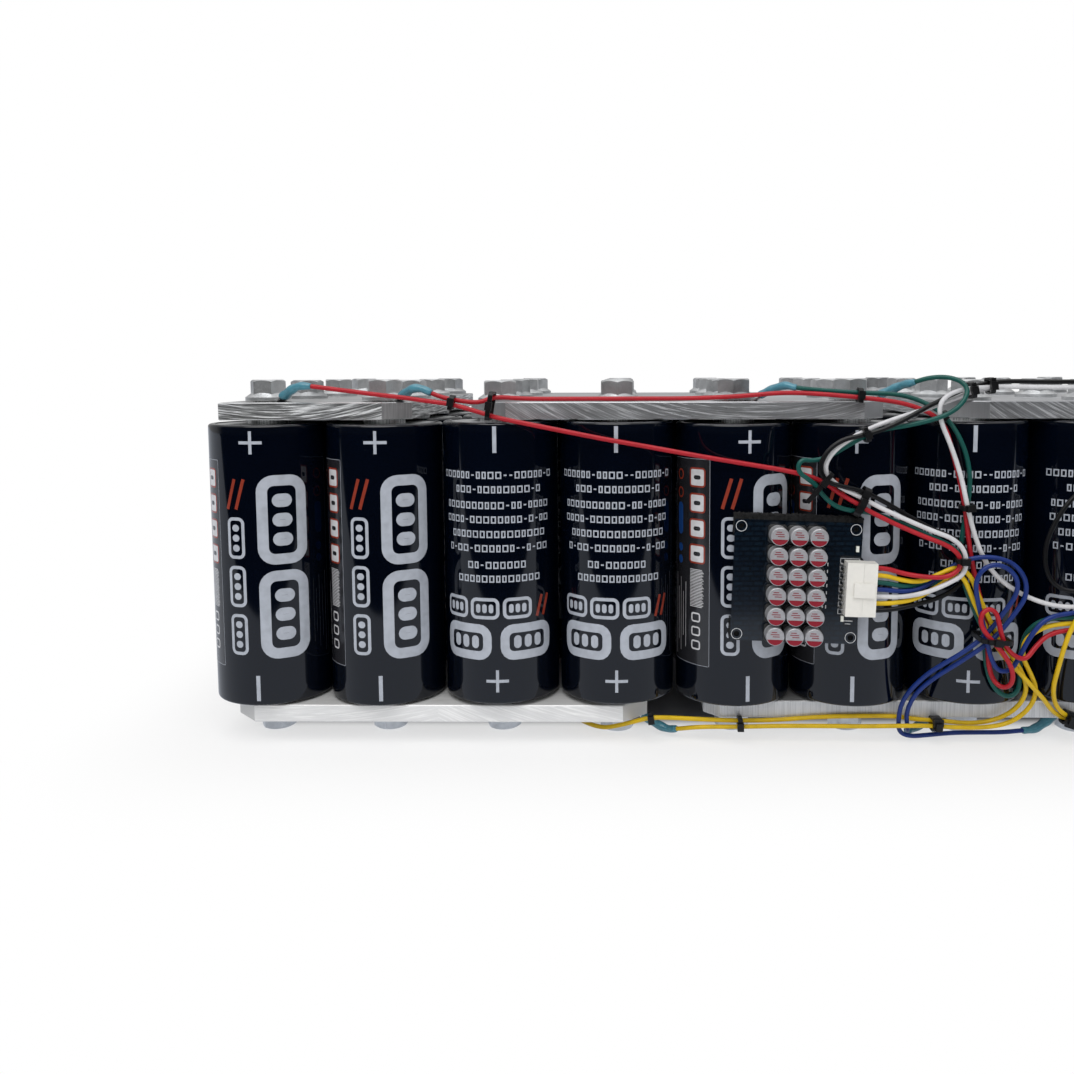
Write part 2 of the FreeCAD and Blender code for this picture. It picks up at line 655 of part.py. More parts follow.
def bolt_places(level, first, last):
    """The bolts through one bar, raised where a ring terminal lies under the flange."""
    ringed = {(column, row) for _, _, side, column, row, _ in terminals if side == level}
    places = []
    for column in range(first, last + 1):
        for row in range(rows):
            lift = size("ring_thickness") if (column, row) in ringed else 0
            if level == "top":
                spot = Vector(column_at(column), row_at(row), upper_bar_top + lift)
                places.append(Placement(spot, Rotation(Vector(0, 0, 1), bolt_turn * (3 * column + 5 * row))))
            else:
                spot = Vector(column_at(column), row_at(row), lower_bar_foot - lift)
                turn = Rotation(Vector(0, 0, 1), bolt_turn * (5 * column + 3 * row)).multiply(upside_down)
                places.append(Placement(spot, turn))
    return places


upper = (
    "sizes.head_height + sizes.ring_thickness + sizes.bar_thickness + sizes.can_length"
    " + sizes.plus_terminal_height + sizes.minus_terminal_height"
)
lower = "sizes.head_height + sizes.ring_thickness"
both = ("bar_margin", "bar_margin")
bars = (
    ("top", 1, 0, 1, ("end_margin", "bar_margin"), (None, "middle_cut"), "bar_overhang"),
    ("top", 2, 2, 5, both, ("large_cut", "middle_cut"), "bar_overhang"),
    ("top", 3, 6, 9, both, ("large_cut", "middle_cut"), "bar_overhang"),
    ("top", 4, 10, 11, ("bar_margin", "end_margin"), ("middle_cut", None), "bar_overhang"),
    ("bottom", 1, 0, 3, both, ("middle_cut", "middle_cut"), "front_step"),
    ("bottom", 2, 4, 7, both, ("small_cut", "middle_cut"), "bar_overhang"),
    ("bottom", 3, 8, 11, both, ("middle_cut", "small_cut"), "bar_overhang"),
)
for level, number, first, last, margins, cuts, front in bars:
    foot = upper if level == "top" else lower
    nodes.append(make_bar(f"{level}_bar_{number}", first, last, margins, cuts, front, foot))
    nodes.append(array(f"{level}_bolts_{number}", bolt, bolt_places(level, first, last)))

# The two boards. The second hangs the other way up, so that its plug faces the first.
cell_middle = lower_bar_top + cell_height / 2
board_rear = row_at(0) - sleeve_outside - size("board_stand_off")
board_level = cell_middle - size("board_drop")
first_gap = (column_at(4) + column_at(5)) / 2
second_gap = (column_at(8) + column_at(9)) / 2
board_places = (
    Placement(Vector(first_gap - size("board_shift"), board_rear, board_level),
              Rotation(Vector(0, 1, 0), size("board_tilt"))),
    Placement(Vector(second_gap, board_rear, board_level),
              Rotation(Vector(0, 1, 0), 180 - size("board_tilt"))),
)
header_place = Placement(Vector(0, 0, -size("header_drop")), Rotation())
pin_spots = [
    Placement(Vector(0, 0, ((size("pin_count") - 1) / 2 - index) * size("pin_pitch")), Rotation())
    for index in range(int(size("pin_count")))
]
capacitor_columns = 3
capacitor_rows = 6
capacitor_spots = [
    Placement(
        Vector((column - (capacitor_columns - 1) / 2) * size("capacitor_column") - size("capacitor_shift"),
               -size("board_thickness"),
               ((capacitor_rows - 1) / 2 - row) * size("capacitor_row") - size("capacitor_shift")),
        towards_front,
    )
    for row in range(capacitor_rows)
    for column in range(capacitor_columns)
]
lamp_rear = -size("board_thickness") - size("lamp_height")
lamp_side = size("board_width") / 2 - size("lamp_inset")
lamp_spots = [
    Placement(Vector(lamp_side, lamp_rear, size("lamp_up")), Rotation()),
    Placement(Vector(lamp_side - size("lamp_stagger"), lamp_rear, -size("lamp_down")), Rotation()),
]
for number, place in enumerate(board_places, start=1):
    nodes.append(array(f"balancer_board_{number}", board, [Placement()], place))
    nodes.append(array(f"board_capacitors_{number}", capacitor, capacitor_spots, place))
    nodes.append(array(f"board_header_{number}", header, [header_place], place))
    nodes.append(array(f"header_pins_{number}", pin, [header_place.multiply(spot) for spot in pin_spots], place))
    nodes.append(array(f"wire_plug_{number}", plug, [header_place], place))
    nodes.append(array(f"board_lamps_{number}", lamp, lamp_spots, place))


def make_pads(number, place, columns_behind):
    """The foam strips behind a board's top and bottom edges, pressed in around two sleeves."""
    half_width = size("board_width") / 2
    half_height = size("board_height") / 2
    top = half_height + size("pad_overlap") - size("pad_width")
    spots = {"top": top, "bottom": -half_height}
    if place.Rotation.multVec(Vector(0, 0, 1)).z < 0:
        spots = {"top": -half_height - size("pad_overlap"), "bottom": half_height - size("pad_width")}
    strips = []
    for side, level in spots.items():
        strip = add("Part::Box", f"pad_{side}_{number}", Length="sizes.board_width",
                    Width="sizes.board_stand_off + sizes.pad_wrap", Height="sizes.pad_width")
        strip.Placement = place.multiply(Placement(Vector(-half_width, 0, level), Rotation()))
        strips.append(strip)
    sleeves = []
    for column in columns_behind:
        hollow = add("Part::Cylinder", f"pad_hollow_{number}_{column}",
                     Radius=f"{sleeve_radius} + sizes.pad_clearance", Height="sizes.can_length")
        hollow.Placement = Placement(Vector(column_at(column), row_at(0), lower_bar_top), Rotation())
        sleeves.append(hollow)
    hollows = fuse(f"pad_hollows_{number}", *sleeves)
    pads = doc.addObject("Part::Compound", f"mounting_pads_{number}")
    pads.Label = f"mounting_pads_{number}"
    pads.Links = [cut(f"pad_{side}_{number}_cut", strip, hollows) for side, strip in zip(spots, strips)]
    return pads


nodes.append(make_pads(1, board_places[0], (4, 5)))
nodes.append(make_pads(2, board_places[1], (8, 9)))

for harness in (1, 2):
    places = [terminal_place(*spot) for number, _, *spot in terminals if number == harness]
    nodes.append(array(f"ring_terminals_{harness}", ring, places))
    nodes.append(array(f"terminal_sleeves_{harness}", grip, places))

# The points that each wire passes between its ring terminal and its plug, in millimetres.
wire_points = {
    (1, "red"): (
        (-341.5, -114.5, 204.5), (-331, -114, 203), (-319.5, -112.5, 201.5), (-304.5, -112.5, 199.5), (-289.5, -115, 198),
        (-275.5, -117, 196), (-262.5, -118.5, 194.5), (-249.5, -121, 191), (-235.5, -126, 187),
        (-219, -130, 184), (-199.5, -129.5, 180), (-176.5, -130.5, 175.5), (-151.5, -129.5, 171),
        (-124, -130.5, 166), (-97.5, -130, 161.5), (-76, -130.5, 158), (-58.5, -131, 153.5),
        (-48.5, -132, 146), (-39, -134, 140.5), (-30, -134.5, 135), (-15.5, -135, 128),
        (-1, -138, 122), (10, -140, 118), (16, -141, 112.5), (16, -141, 105.5), (9, -141.5, 101),
        (-2, -141, 101), (-14, -138.5, 102.5),
    ),
    (1, "yellow_left"): (
        (-190, -60, 2.5), (-195, -71, 2), (-196, -85, 3), (-190, -98, 4), (-179, -107.5, 4),
        (-170.5, -111, 6.5), (-161.5, -115.5, 10.5), (-151, -120, 15), (-139.5, -117.5, 14),
        (-122, -116, 12.5), (-99.5, -115.5, 11.5), (-77, -115.5, 12), (-53, -115.5, 14),
        (-30, -115.5, 14.5), (-10.5, -115.5, 14.5), (2, -115.5, 12.5), (16, -116, 12),
        (30.5, -116.5, 10.5), (43.5, -117.5, 12), (54, -119.5, 17.5), (59, -124.5, 26.5),
        (58.5, -131, 37.5), (53, -134, 48.5), (45.5, -135, 58.5), (39, -135, 68),
        (33, -135, 80), (27, -136, 92), (22.5, -138, 102), (15, -138, 106.5), (5.5, -138, 102),
        (-4.5, -138, 97.5), (-15.5, -138, 99),
    ),
    (1, "green"): (
        (-5, -115.5, 205.5), (3, -119, 208.5), (12, -123, 209), (19, -127, 206.5),
        (21.5, -130, 201.5), (17.5, -133, 194.5), (9.5, -135.5, 189), (-0.5, -135, 185.5),
        (-13.5, -133.5, 182.5), (-26.5, -132, 180.5), (-36.5, -131.5, 176), (-46.5, -131.5, 170),
        (-55.5, -132, 165), (-63.5, -133, 163.5), (-68, -134, 164.5), (-71, -134.5, 162),
        (-70.5, -134.5, 157.5), (-66.5, -134.5, 154.5), (-61.5, -134, 151), (-57.5, -134, 145),
        (-51, -134, 139), (-41.5, -132.5, 136), (-29, -131, 135), (-13.5, -132, 129),
        (2, -132.5, 122), (13.5, -132.5, 117), (19.5, -132.5, 111), (20, -132.5, 103.5),
        (14.5, -132.5, 98.5), (6.5, -132.5, 96), (-3.5, -134, 95.5), (-13.5, -137.5, 95),
    ),
    (1, "blue"): (
        (-0.5, -108, 3), (-2, -113, 5), (-3.5, -117.5, 10), (-4.5, -118.5, 15.5), (-4, -121.5, 23),
        (-1, -125.5, 32), (6, -130, 41), (15, -134, 49), (24, -137, 56.5), (33.5, -138.5, 64),
        (41, -138, 71.5), (47.5, -138, 80.5), (53, -138.5, 89.5), (52.5, -139, 99.5),
        (46, -139, 108), (36.5, -138.5, 111.5), (26, -138, 111.5), (16, -135, 108),
        (5, -135.5, 98.5), (-5, -137, 93), (-15.5, -138, 92.5),
    ),
    (1, "white"): (
        (141, -117, 205.5), (130, -117.5, 204.5), (116, -115.5, 203.5), (98, -114, 203),
        (72, -114.5, 203), (52.5, -114.5, 203.5), (37, -115, 202.5), (24.5, -119, 199.5),
        (12.5, -124, 195.5), (-1, -129.5, 191.5), (-17.5, -134, 187), (-32.5, -134.5, 181.5),
        (-45.5, -135, 174.5), (-54, -135, 167), (-57, -134.5, 158.5), (-50.5, -134.5, 150.5),
        (-38, -134, 144.5), (-26, -134, 138), (-13, -135, 132), (1, -138, 126), (12.5, -140.5, 122),
        (19, -141, 114.5), (19, -141, 103), (9.5, -141, 97.5), (-2, -141, 92.5),
        (-14, -138.5, 89.5),
    ),
    (1, "yellow_right"): (
        (139, -111.5, 2.5), (129, -113.5, 3.5), (113, -115.5, 9.5), (98.5, -116.5, 12),
        (85.5, -118, 14), (76.5, -122.5, 20), (69.5, -128.5, 28.5), (60.5, -134, 37.5),
        (51, -137, 47.5), (43, -136, 55.5), (37, -135.5, 64.5), (30.5, -135, 76.5),
        (25, -136, 87.5), (21.5, -137.5, 95.5), (18.5, -138, 100.5), (14.5, -138.5, 102),
        (9.5, -138.5, 98.5), (1.5, -138, 93), (-7.5, -137.5, 88), (-16, -138, 86.5),
    ),
    (1, "black"): (
        (277, -117, 205.5), (266, -119.5, 204.5), (248, -121, 203.5), (214, -122.5, 204.5),
        (180, -121, 205.5), (150, -122, 206.5), (120, -119, 206.5), (93.5, -116.5, 206),
        (66, -116, 206), (49, -116, 206.5), (35.5, -117, 205.5), (23, -121.5, 202.5),
        (11, -127, 198), (-2, -132.5, 192.5), (-15.5, -136.5, 185.5), (-28, -137.5, 180),
        (-38.5, -137.5, 177.5), (-48, -137.5, 175.5), (-56.5, -137.5, 169), (-60.5, -137.5, 160),
        (-56.5, -137.5, 152.5), (-47, -137.5, 150), (-36.5, -135, 147.5), (-23, -132, 141),
        (-10, -131.5, 133), (4, -132.5, 125.5), (15.5, -132.5, 121), (22.5, -132.5, 113.5),
        (23, -132.5, 101.5), (17, -133, 93), (6, -134.5, 87.5), (-10.5, -137.5, 84),
    ),
    (2, "red"): (
        (-270.5, -113.5, 198.5), (-257.5, -117, 196), (-246, -117.5, 195), (-239, -114.5, 198.5),
        (-222, -112, 197), (-195, -111, 197), (-160, -110.5, 197), (-125, -111, 197),
        (-96, -111, 198.5), (-75.5, -114, 200.5), (-55, -116.5, 199.5), (-33, -117.5, 197.5),
        (-12, -118, 195), (3, -120, 190), (11, -124.5, 183), (14, -128.5, 169),
        (18.5, -129.5, 152.5), (21, -131.5, 137.5), (23, -131.5, 122.5), (25.5, -131.5, 107.5),
        (29, -131.5, 93), (33, -132, 79.5), (35.5, -132.5, 66), (35.5, -132.5, 55),
        (37, -132.5, 45.5), (39.5, -135, 40), (43, -138, 38.5), (46, -141, 42), (45.5, -143, 49.5),
        (41, -144, 58), (34.5, -144.5, 65.5), (29, -144.5, 71.5), (26.5, -144, 77), (27.5, -143.5, 82),
        (31.5, -143, 84.5), (35.5, -143, 82), (37, -143, 76.5), (38.5, -143, 70), (41, -143, 63),
        (46.5, -143, 57.5), (52.5, -142.5, 56), (58, -140.5, 62.5), (65.5, -138.5, 69),
        (77.5, -138, 71.5), (94, -138, 72.5), (112.5, -138, 76), (131.5, -138, 80.5),
        (147.5, -138, 83.5),
    ),
    (2, "yellow_left"): (
        (-135.5, -111.5, 5), (-122, -117, 8.5), (-100, -118.5, 9), (-79.5, -119.5, 10),
        (-54, -119.5, 10), (-31, -120, 10), (-11, -120.5, 10.5), (7.5, -120, 10.5), (23, -120, 9.5),
        (38.5, -120.5, 9.5), (51.5, -121.5, 12), (59.5, -123.5, 18), (64.5, -126, 26.5),
        (64.5, -129, 36), (58.5, -133, 46.5), (53, -136.5, 55.5), (52.5, -138, 64), (58, -138, 70),
        (67, -138, 74), (79.5, -138, 75), (96.5, -138, 76), (115, -138, 80), (132, -138, 84.5),
        (148, -138, 88),
    ),
    (2, "green"): (
        (-70, -114.5, 203), (-54.5, -114, 201.5), (-33, -114.5, 200), (-13.5, -115, 199.5),
        (-2, -117, 196.5), (8, -120.5, 191), (14, -124.5, 184), (19, -128, 174.5),
        (23, -129, 162.5), (24.5, -129, 148.5), (22, -128.5, 130.5), (20, -128.5, 115),
        (21.5, -129, 97), (27.5, -129.5, 81.5), (34.5, -130, 66.5), (35, -129.5, 53.5),
        (37.5, -129, 42), (42, -129.5, 34), (48.5, -130, 30.5), (54, -130, 34), (55, -129.5, 42.5),
        (54, -131, 54.5), (54.5, -133.5, 66.5), (59, -136, 74), (67, -138, 78), (79.5, -138, 78),
        (98, -138, 79.5), (115, -138, 83.5), (133, -138, 88.5), (149, -138, 92),
    ),
    (2, "blue"): (
        (67, -108.5, 3.5), (54, -110.5, 3), (39, -112, 3.5), (24, -112.5, 3.5), (10.5, -114.5, 3),
        (-2, -116, 2.5), (-8, -116, 5.5), (-9, -119, 14.5), (-8.5, -121.5, 23.5), (-5, -125.5, 33),
        (2.5, -130, 43.5), (11.5, -134, 51.5), (19, -137, 57.5), (28.5, -138, 65),
        (35.5, -138, 72.5), (41.5, -138, 81), (47.5, -138.5, 90), (48, -140, 99),
        (42, -141.5, 106), (34.5, -141.5, 108.5), (27.5, -141.5, 105.5), (24.5, -140.5, 98),
        (26, -140, 88.5), (28.5, -140.5, 78.5), (31, -141.5, 67.5), (34, -141, 56),
        (38.5, -140, 48.5), (46, -139.5, 49), (50.5, -140, 58), (54.5, -141, 68), (63, -141, 79),
        (79, -138.5, 81), (99, -138, 83), (115.5, -138, 87), (133, -138, 92), (149, -138, 95.5),
    ),
    (2, "white"): (
        (209, -117.5, 205.5), (197, -118.5, 203), (180, -118.5, 201.5), (156, -119, 200.5),
        (128, -118.5, 200.5), (94, -117.5, 203), (68, -117.5, 203), (48.5, -117.5, 203.5),
        (33, -121, 203), (21.5, -125, 202.5), (10.5, -130, 199.5), (5, -132.5, 194),
        (6, -132.5, 185), (12.5, -131.5, 171.5), (18, -132.5, 155), (21, -134.5, 139.5),
        (25, -134.5, 124), (31, -134.5, 109), (40, -134.5, 98), (52, -135.5, 90),
        (65.5, -137.5, 85), (79.5, -138, 83.5), (97.5, -138, 86.5), (115.5, -138, 91),
        (134, -138, 96.5), (148.5, -138, 99.5),
    ),
    (2, "yellow_right"): (
        (206.5, -111.5, 2.5), (196, -114, 3.5), (176, -115.5, 6.5), (146, -116, 9), (115, -117.5, 12),
        (99, -119, 13), (85, -121, 16.5), (77, -124.5, 24.5), (73, -130, 36), (73, -136, 49.5),
        (73.5, -140.5, 62), (77, -141.5, 74), (83.5, -141.5, 85), (96.5, -140, 92),
        (115.5, -138, 95.5), (133.5, -138, 100.5), (148.5, -138, 103.5),
    ),
    (2, "black"): (
        (345, -117, 205.5), (335, -121.5, 202), (320, -126, 198), (293, -129.5, 193),
        (262, -130.5, 190), (226, -131, 187.5), (190, -131, 184), (152, -131, 178), (118, -131, 168),
        (94, -131, 155.5), (79, -131, 143), (71, -130.5, 130.5), (65.5, -131, 117), (65.5, -132, 103.5),
        (70, -134, 94.5), (79.5, -136.5, 91.5), (96, -138, 94.5), (114.5, -138, 99), (132.5, -138, 104),
        (148.5, -138, 107),
    ),
}
plug_order = ("red", "yellow_left", "green", "blue", "white", "yellow_right", "black")
corner_share = 0.45


def rounded_path(points):
    """Straight runs through the points, joined by tangent arcs, and the arcs' radii."""
    edges = []
    radii = []
    start = points[0]
    for before, corner, after in zip(points, points[1:], points[2:]):
        into = corner - before
        out = after - corner
        trim = corner_share * min(into.Length, out.Length)
        half_turn = into.getAngle(out) / 2
        radius = trim / math.tan(half_turn)
        into.normalize()
        out.normalize()
        inward = (out - into).normalize()
        first = corner - into * trim
        middle = corner + inward * radius * (1 / math.cos(half_turn) - 1)
        last = corner + out * trim
        edges.append(Part.LineSegment(start, first).toShape())
        edges.append(Part.Arc(first, middle, last).toShape())
        radii.append(radius)
        start = last
    edges.append(Part.LineSegment(start, points[-1]).toShape())
    return Part.Wire(edges), radii


def make_wire(harness, colour, level, column, row, heading):
    """A limp wire from inside its terminal's insulating sleeve to inside its plug."""
    rise = math.radians(size("neck_rise"))
    lift = size("crimp_diameter") / 2
    ends = []
    sleeve_end = size("neck_length") + size("grip_length")
    for distance in (sleeve_end - size("wire_depth"), sleeve_end + size("wire_run_out")):
        across = size("tongue_reach") + distance * math.cos(rise) - lift * math.sin(rise)
        up = distance * math.sin(rise) + lift * math.cos(rise)
        ends.append(terminal_place(level, column, row, heading).multVec(Vector(across, 0, up)))
    plug_face = size("board_width") / 2 - size("header_inset") + size("header_depth") + size("plug_out")
    depth = -size("board_thickness") - size("header_tall") / 2
    pin_up = ((size("pin_count") - 1) / 2 - plug_order.index(colour)) * size("pin_pitch")
    for distance in (size("wire_depth"), -size("wire_depth")):
        spot = Vector(plug_face + distance, depth, pin_up - size("header_drop"))
        ends.append(board_places[harness - 1].multVec(spot))
    points = ends[:2] + [Vector(*point) for point in wire_points[(harness, colour)]] + ends[2:]
    line, radii = rounded_path(points)
    path = doc.addObject("Part::Feature", f"path_{harness}_{colour}")
    path.Shape = line
    section = add("Part::Circle", f"section_{harness}_{colour}", Radius="sizes.wire_diameter / 2")
    section.Placement = Placement(points[0], Rotation(Vector(0, 0, 1), points[1] - points[0]))
    tube = doc.addObject("Part::Sweep", f"wire_{harness}_{colour}")
    tube.Label = f"wire_{harness}_{colour}"
    tube.Sections = [section]
    tube.Spine = (path, [])
    tube.Solid = True
    doc.recompute()
    swept = math.pi * size("wire_diameter") ** 2 / 4 * line.Length
    print(tube.Label, "length", round(line.Length), "volume share", round(tube.Shape.Volume / swept, 4),
          "radii", sorted(round(radius, 1) for radius in radii))
    return tube


for harness, colour, *spot in terminals:
    nodes.append(make_wire(harness, colour, *spot))

# Each cable tie: its harness, its middle, the way the wires run through it in degrees from
# +X towards +Z, the room inside it across and front to back, its strap's width and its tail.
ties = (
    (1, (-262, -117, 195.5), 170, 5.6, 5.8, 2.5, 2),
    (1, (-240, -119.5, 193.5), 170, 13.6, 13, 2.5, 2),
    (1, (37.5, -118, 204), 6, 6.6, 8.2, 2.5, 2),
    (1, (26, -121, 201.5), 12, 6.6, 8.2, 2.5, 2),
    (1, (-35, -134.5, 178), 22, 6, 8.8, 2.5, 2),
    (1, (-57.5, -134.5, 152.5), 138, 11.2, 9.2, 2.5, 12),
    (1, (-36, -133, 141.2), 155, 14.6, 5.8, 4, 3),
    (1, (17.5, -141, 110), 88, 6, 3, 2.5, 2),
    (1, (-150.5, -119, 14.5), 8, 3, 3, 2.5, 2),
    (2, (-34, -116, 199), 175, 5.6, 5.8, 2.5, 2),
    (2, (9.5, -122.5, 186.5), 134, 7, 4, 2.5, 2),
    (2, (22, -131.5, 138), 95, 5, 8.4, 2.5, 2),
    (2, (35.5, -137.2, 66.5), 85, 15, 17.2, 2.5, 3),
    (2, (-99.5, -117.5, 10.5), 0, 5.6, 6.4, 2.5, 2),
    (2, (12.5, -118.2, 11), 0, 5.2, 7.2, 5.5, 2),
    (2, (87, -119.5, 15), 160, 5.8, 6, 5.5, 2),
)


def rounded_block(name, across, deep, width, bend):
    """A block about the origin whose edges along X are rounded."""
    block = add("Part::Box", name + "_block", Length=f"{width}", Width=f"{deep}", Height=f"{across}")
    block.Placement.Base = Vector(-width / 2, 0, 0)
    block.setExpression("Placement.Base.y", f"-({deep}) / 2")
    block.setExpression("Placement.Base.z", f"-({across}) / 2")
    doc.recompute()
    soft = doc.addObject("Part::Fillet", name)
    soft.Base = block
    soft.Edges = [
        (number, bend, bend)
        for number, edge in enumerate(block.Shape.Edges, start=1)
        if edge.BoundBox.XLength > width - tolerance
    ]
    return soft


def make_tie(name, middle, heading, across, deep, width, tail):
    """A cable tie: a strap round its wires, the head on its front and the tail cut short."""
    inside = size("tie_bend")
    outer = rounded_block(f"{name}_outer", f"{across} + 2 * sizes.tie_thickness",
                          f"{deep} + 2 * sizes.tie_thickness", width, inside + size("tie_thickness"))
    inner = rounded_block(f"{name}_inner", str(across), str(deep), 2 * width, inside)
    front = f"-{deep / 2} - sizes.tie_thickness"
    head = add("Part::Box", f"{name}_head",
               ("-sizes.tie_head_wide / 2", f"{front} - sizes.tie_head_tall", "-sizes.tie_head_long / 2"),
               Length="sizes.tie_head_wide", Width="sizes.tie_head_tall + sizes.tie_thickness / 2",
               Height="sizes.tie_head_long")
    end = add("Part::Box", f"{name}_end",
              (str(-width / 2), f"{front} - sizes.tie_head_tall / 2", "0"),
              Length=str(width), Width="sizes.tie_thickness", Height=f"sizes.tie_head_long / 2 + {tail}")
    whole = fuse(name, cut(f"{name}_strap", outer, inner), head, end)
    whole.Placement = Placement(Vector(*middle), Rotation(Vector(0, 1, 0), -heading))
    return whole


for harness in (1, 2):
    bundle = doc.addObject("Part::Compound", f"cable_ties_{harness}")
    bundle.Label = f"cable_ties_{harness}"
    bundle.Links = [
        make_tie(f"tie_{harness}_{count}", *fitting)
        for count, (number, *fitting) in enumerate(ties, start=1) if number == harness
    ]
    nodes.append(bundle)

doc.recompute()
failed = [item.Label for item in doc.Objects if {"Invalid", "Error"} & set(item.State)]
if failed:
    raise RuntimeError(f"not built: {failed}")
os.makedirs("parts", exist_ok=True)
for item in nodes:
    shape = Part.getShape(item)
    if shape.isNull() or not shape.isValid():
        raise RuntimeError(f"{item.Label} has no valid shape")
    shape.exportStep(f"parts/{item.Label}.step")
    print(item.Label, len(shape.Solids), round(shape.Volume), shape.BoundBox)
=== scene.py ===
import json
import math
import bmesh
import bpy
import numpy as np
from mathutils import Matrix, Vector

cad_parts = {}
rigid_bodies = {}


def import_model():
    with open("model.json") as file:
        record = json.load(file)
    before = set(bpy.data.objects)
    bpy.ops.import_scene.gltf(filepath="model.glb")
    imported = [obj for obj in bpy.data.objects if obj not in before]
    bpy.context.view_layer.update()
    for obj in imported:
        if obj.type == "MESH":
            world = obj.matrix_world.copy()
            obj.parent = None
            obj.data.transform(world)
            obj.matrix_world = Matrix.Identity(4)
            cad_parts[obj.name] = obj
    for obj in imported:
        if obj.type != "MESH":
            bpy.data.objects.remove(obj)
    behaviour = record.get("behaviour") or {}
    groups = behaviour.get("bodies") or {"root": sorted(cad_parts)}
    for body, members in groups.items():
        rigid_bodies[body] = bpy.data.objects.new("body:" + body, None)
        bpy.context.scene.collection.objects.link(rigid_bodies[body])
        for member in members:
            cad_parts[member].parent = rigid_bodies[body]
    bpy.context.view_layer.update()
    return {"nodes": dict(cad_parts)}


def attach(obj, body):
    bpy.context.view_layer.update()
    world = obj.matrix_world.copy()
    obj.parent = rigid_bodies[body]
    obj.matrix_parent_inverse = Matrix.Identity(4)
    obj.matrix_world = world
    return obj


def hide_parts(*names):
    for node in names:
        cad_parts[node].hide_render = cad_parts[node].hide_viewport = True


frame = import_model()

# A bank of 48 upright cells: printed sleeves, sawn bars, two balancer boards and their
# loose wires. Everything is in metres, in the frame of the CAD model.

nodes = frame["nodes"]
mm = 0.001
pack = {
    "columns": 12, "rows": 4, "pitch": 0.068, "frontRow": -0.0938,
    "plusFoot": 0.02375, "minusFoot": 0.02495, "sleeveTall": 0.1594, "sleeveRadius": 0.03333,
}


def columnAt(column):  # metres from the pack's middle, at one pitch each
    return (column - (pack["columns"] - 1) / 2) * pack["pitch"]


def rowAt(row):  # metres, back from the front row at one pitch each
    return pack["frontRow"] + row * pack["pitch"]


def plusUp(column):  # every second pair of columns has its plus end up
    return column // 2 % 2 == 0


def cellsOf(group):  # the columns and rows of the cells in one pair of columns
    for column in (2 * group, 2 * group + 1):
        for row in range(pack["rows"]):
            yield column, row


def circle(count):  # the angles of a closed ring of points
    return np.arange(count) * 2 * math.pi / count


# Shader maths: a socket that can be added and multiplied, and the tree that it is in.

class Value:
    def __init__(self, tree, link):
        self.tree = tree
        self.link = link

    def __add__(self, other):
        return self.tree.maths("ADD", self, other)

    def __sub__(self, other):
        return self.tree.maths("SUBTRACT", self, other)

    def __rsub__(self, other):
        return self.tree.maths("SUBTRACT", other, self)

    def __mul__(self, other):
        return self.tree.maths("MULTIPLY", self, other)

    def __pow__(self, other):
        return self.tree.maths("POWER", self, other)

    __radd__ = __add__
    __rmul__ = __mul__


class Tree:
    def __init__(self, nodeTree):
        self.nodeTree = nodeTree

    def node(self, kind, settings=None, values=None, out=0):  # settings first, then the sockets
        made = self.nodeTree.nodes.new(kind)
        for name, setting in (settings or {}).items():
            if name == "stops":
                ramp = made.color_ramp
                while len(ramp.elements) < len(setting):
                    ramp.elements.new(0.5)
                for element, (place, colour) in zip(ramp.elements, setting):
                    element.position = place
                    element.color = (*colour, 1)
            else:
                setattr(made, name, setting)
        for socket, value in (values or {}).items():
            self.feed(made.inputs[socket], value)
        return Value(self, made.outputs[out])

    def feed(self, socket, value):
        if isinstance(value, Value):
            self.nodeTree.links.new(value.link, socket)
        elif isinstance(value, tuple) and len(value) == 3 and socket.type == "RGBA":
            socket.default_value = (*value, 1)
        else:
            socket.default_value = value

    def maths(self, operation, *values):
        return self.node("ShaderNodeMath", {"operation": operation}, dict(enumerate(values)))

    def mix(self, share, first, second):  # colours, by a share from 0 to 1
        return self.node("ShaderNodeMix", {"data_type": "RGBA"}, {0: share, 6: first, 7: second}, 2)

    def step(self, value, low, high):  # 0 below low, 1 above high, smooth between
        return self.node("ShaderNodeMapRange", {"interpolation_type": "SMOOTHSTEP"},
                         {0: value, 1: low, 2: high})

    def place(self, scale=(1, 1, 1), turn=(0, 0, 0)):  # the piece's own coordinates
        coords = self.node("ShaderNodeTexCoord", out=3)
        return self.node("ShaderNodeMapping", None, {"Vector": coords, "Scale": scale, "Rotation": turn})

    def noise(self, vector, scale, detail=3, rough=0.5):
        return self.node("ShaderNodeTexNoise", None,
                         {"Vector": vector, "Scale": scale, "Detail": detail, "Roughness": rough})

    def axes(self, vector):
        split = self.nodeTree.nodes.new("ShaderNodeSeparateXYZ")
        self.nodeTree.links.new(vector.link, split.inputs[0])
        return [Value(self, output) for output in split.outputs]

    def rays(self):  # whether a ray is the camera's, and whether it is a glossy one
        outputs = self.nodeTree.nodes.new("ShaderNodeLightPath").outputs
        return Value(self, outputs[0]), Value(self, outputs[3])


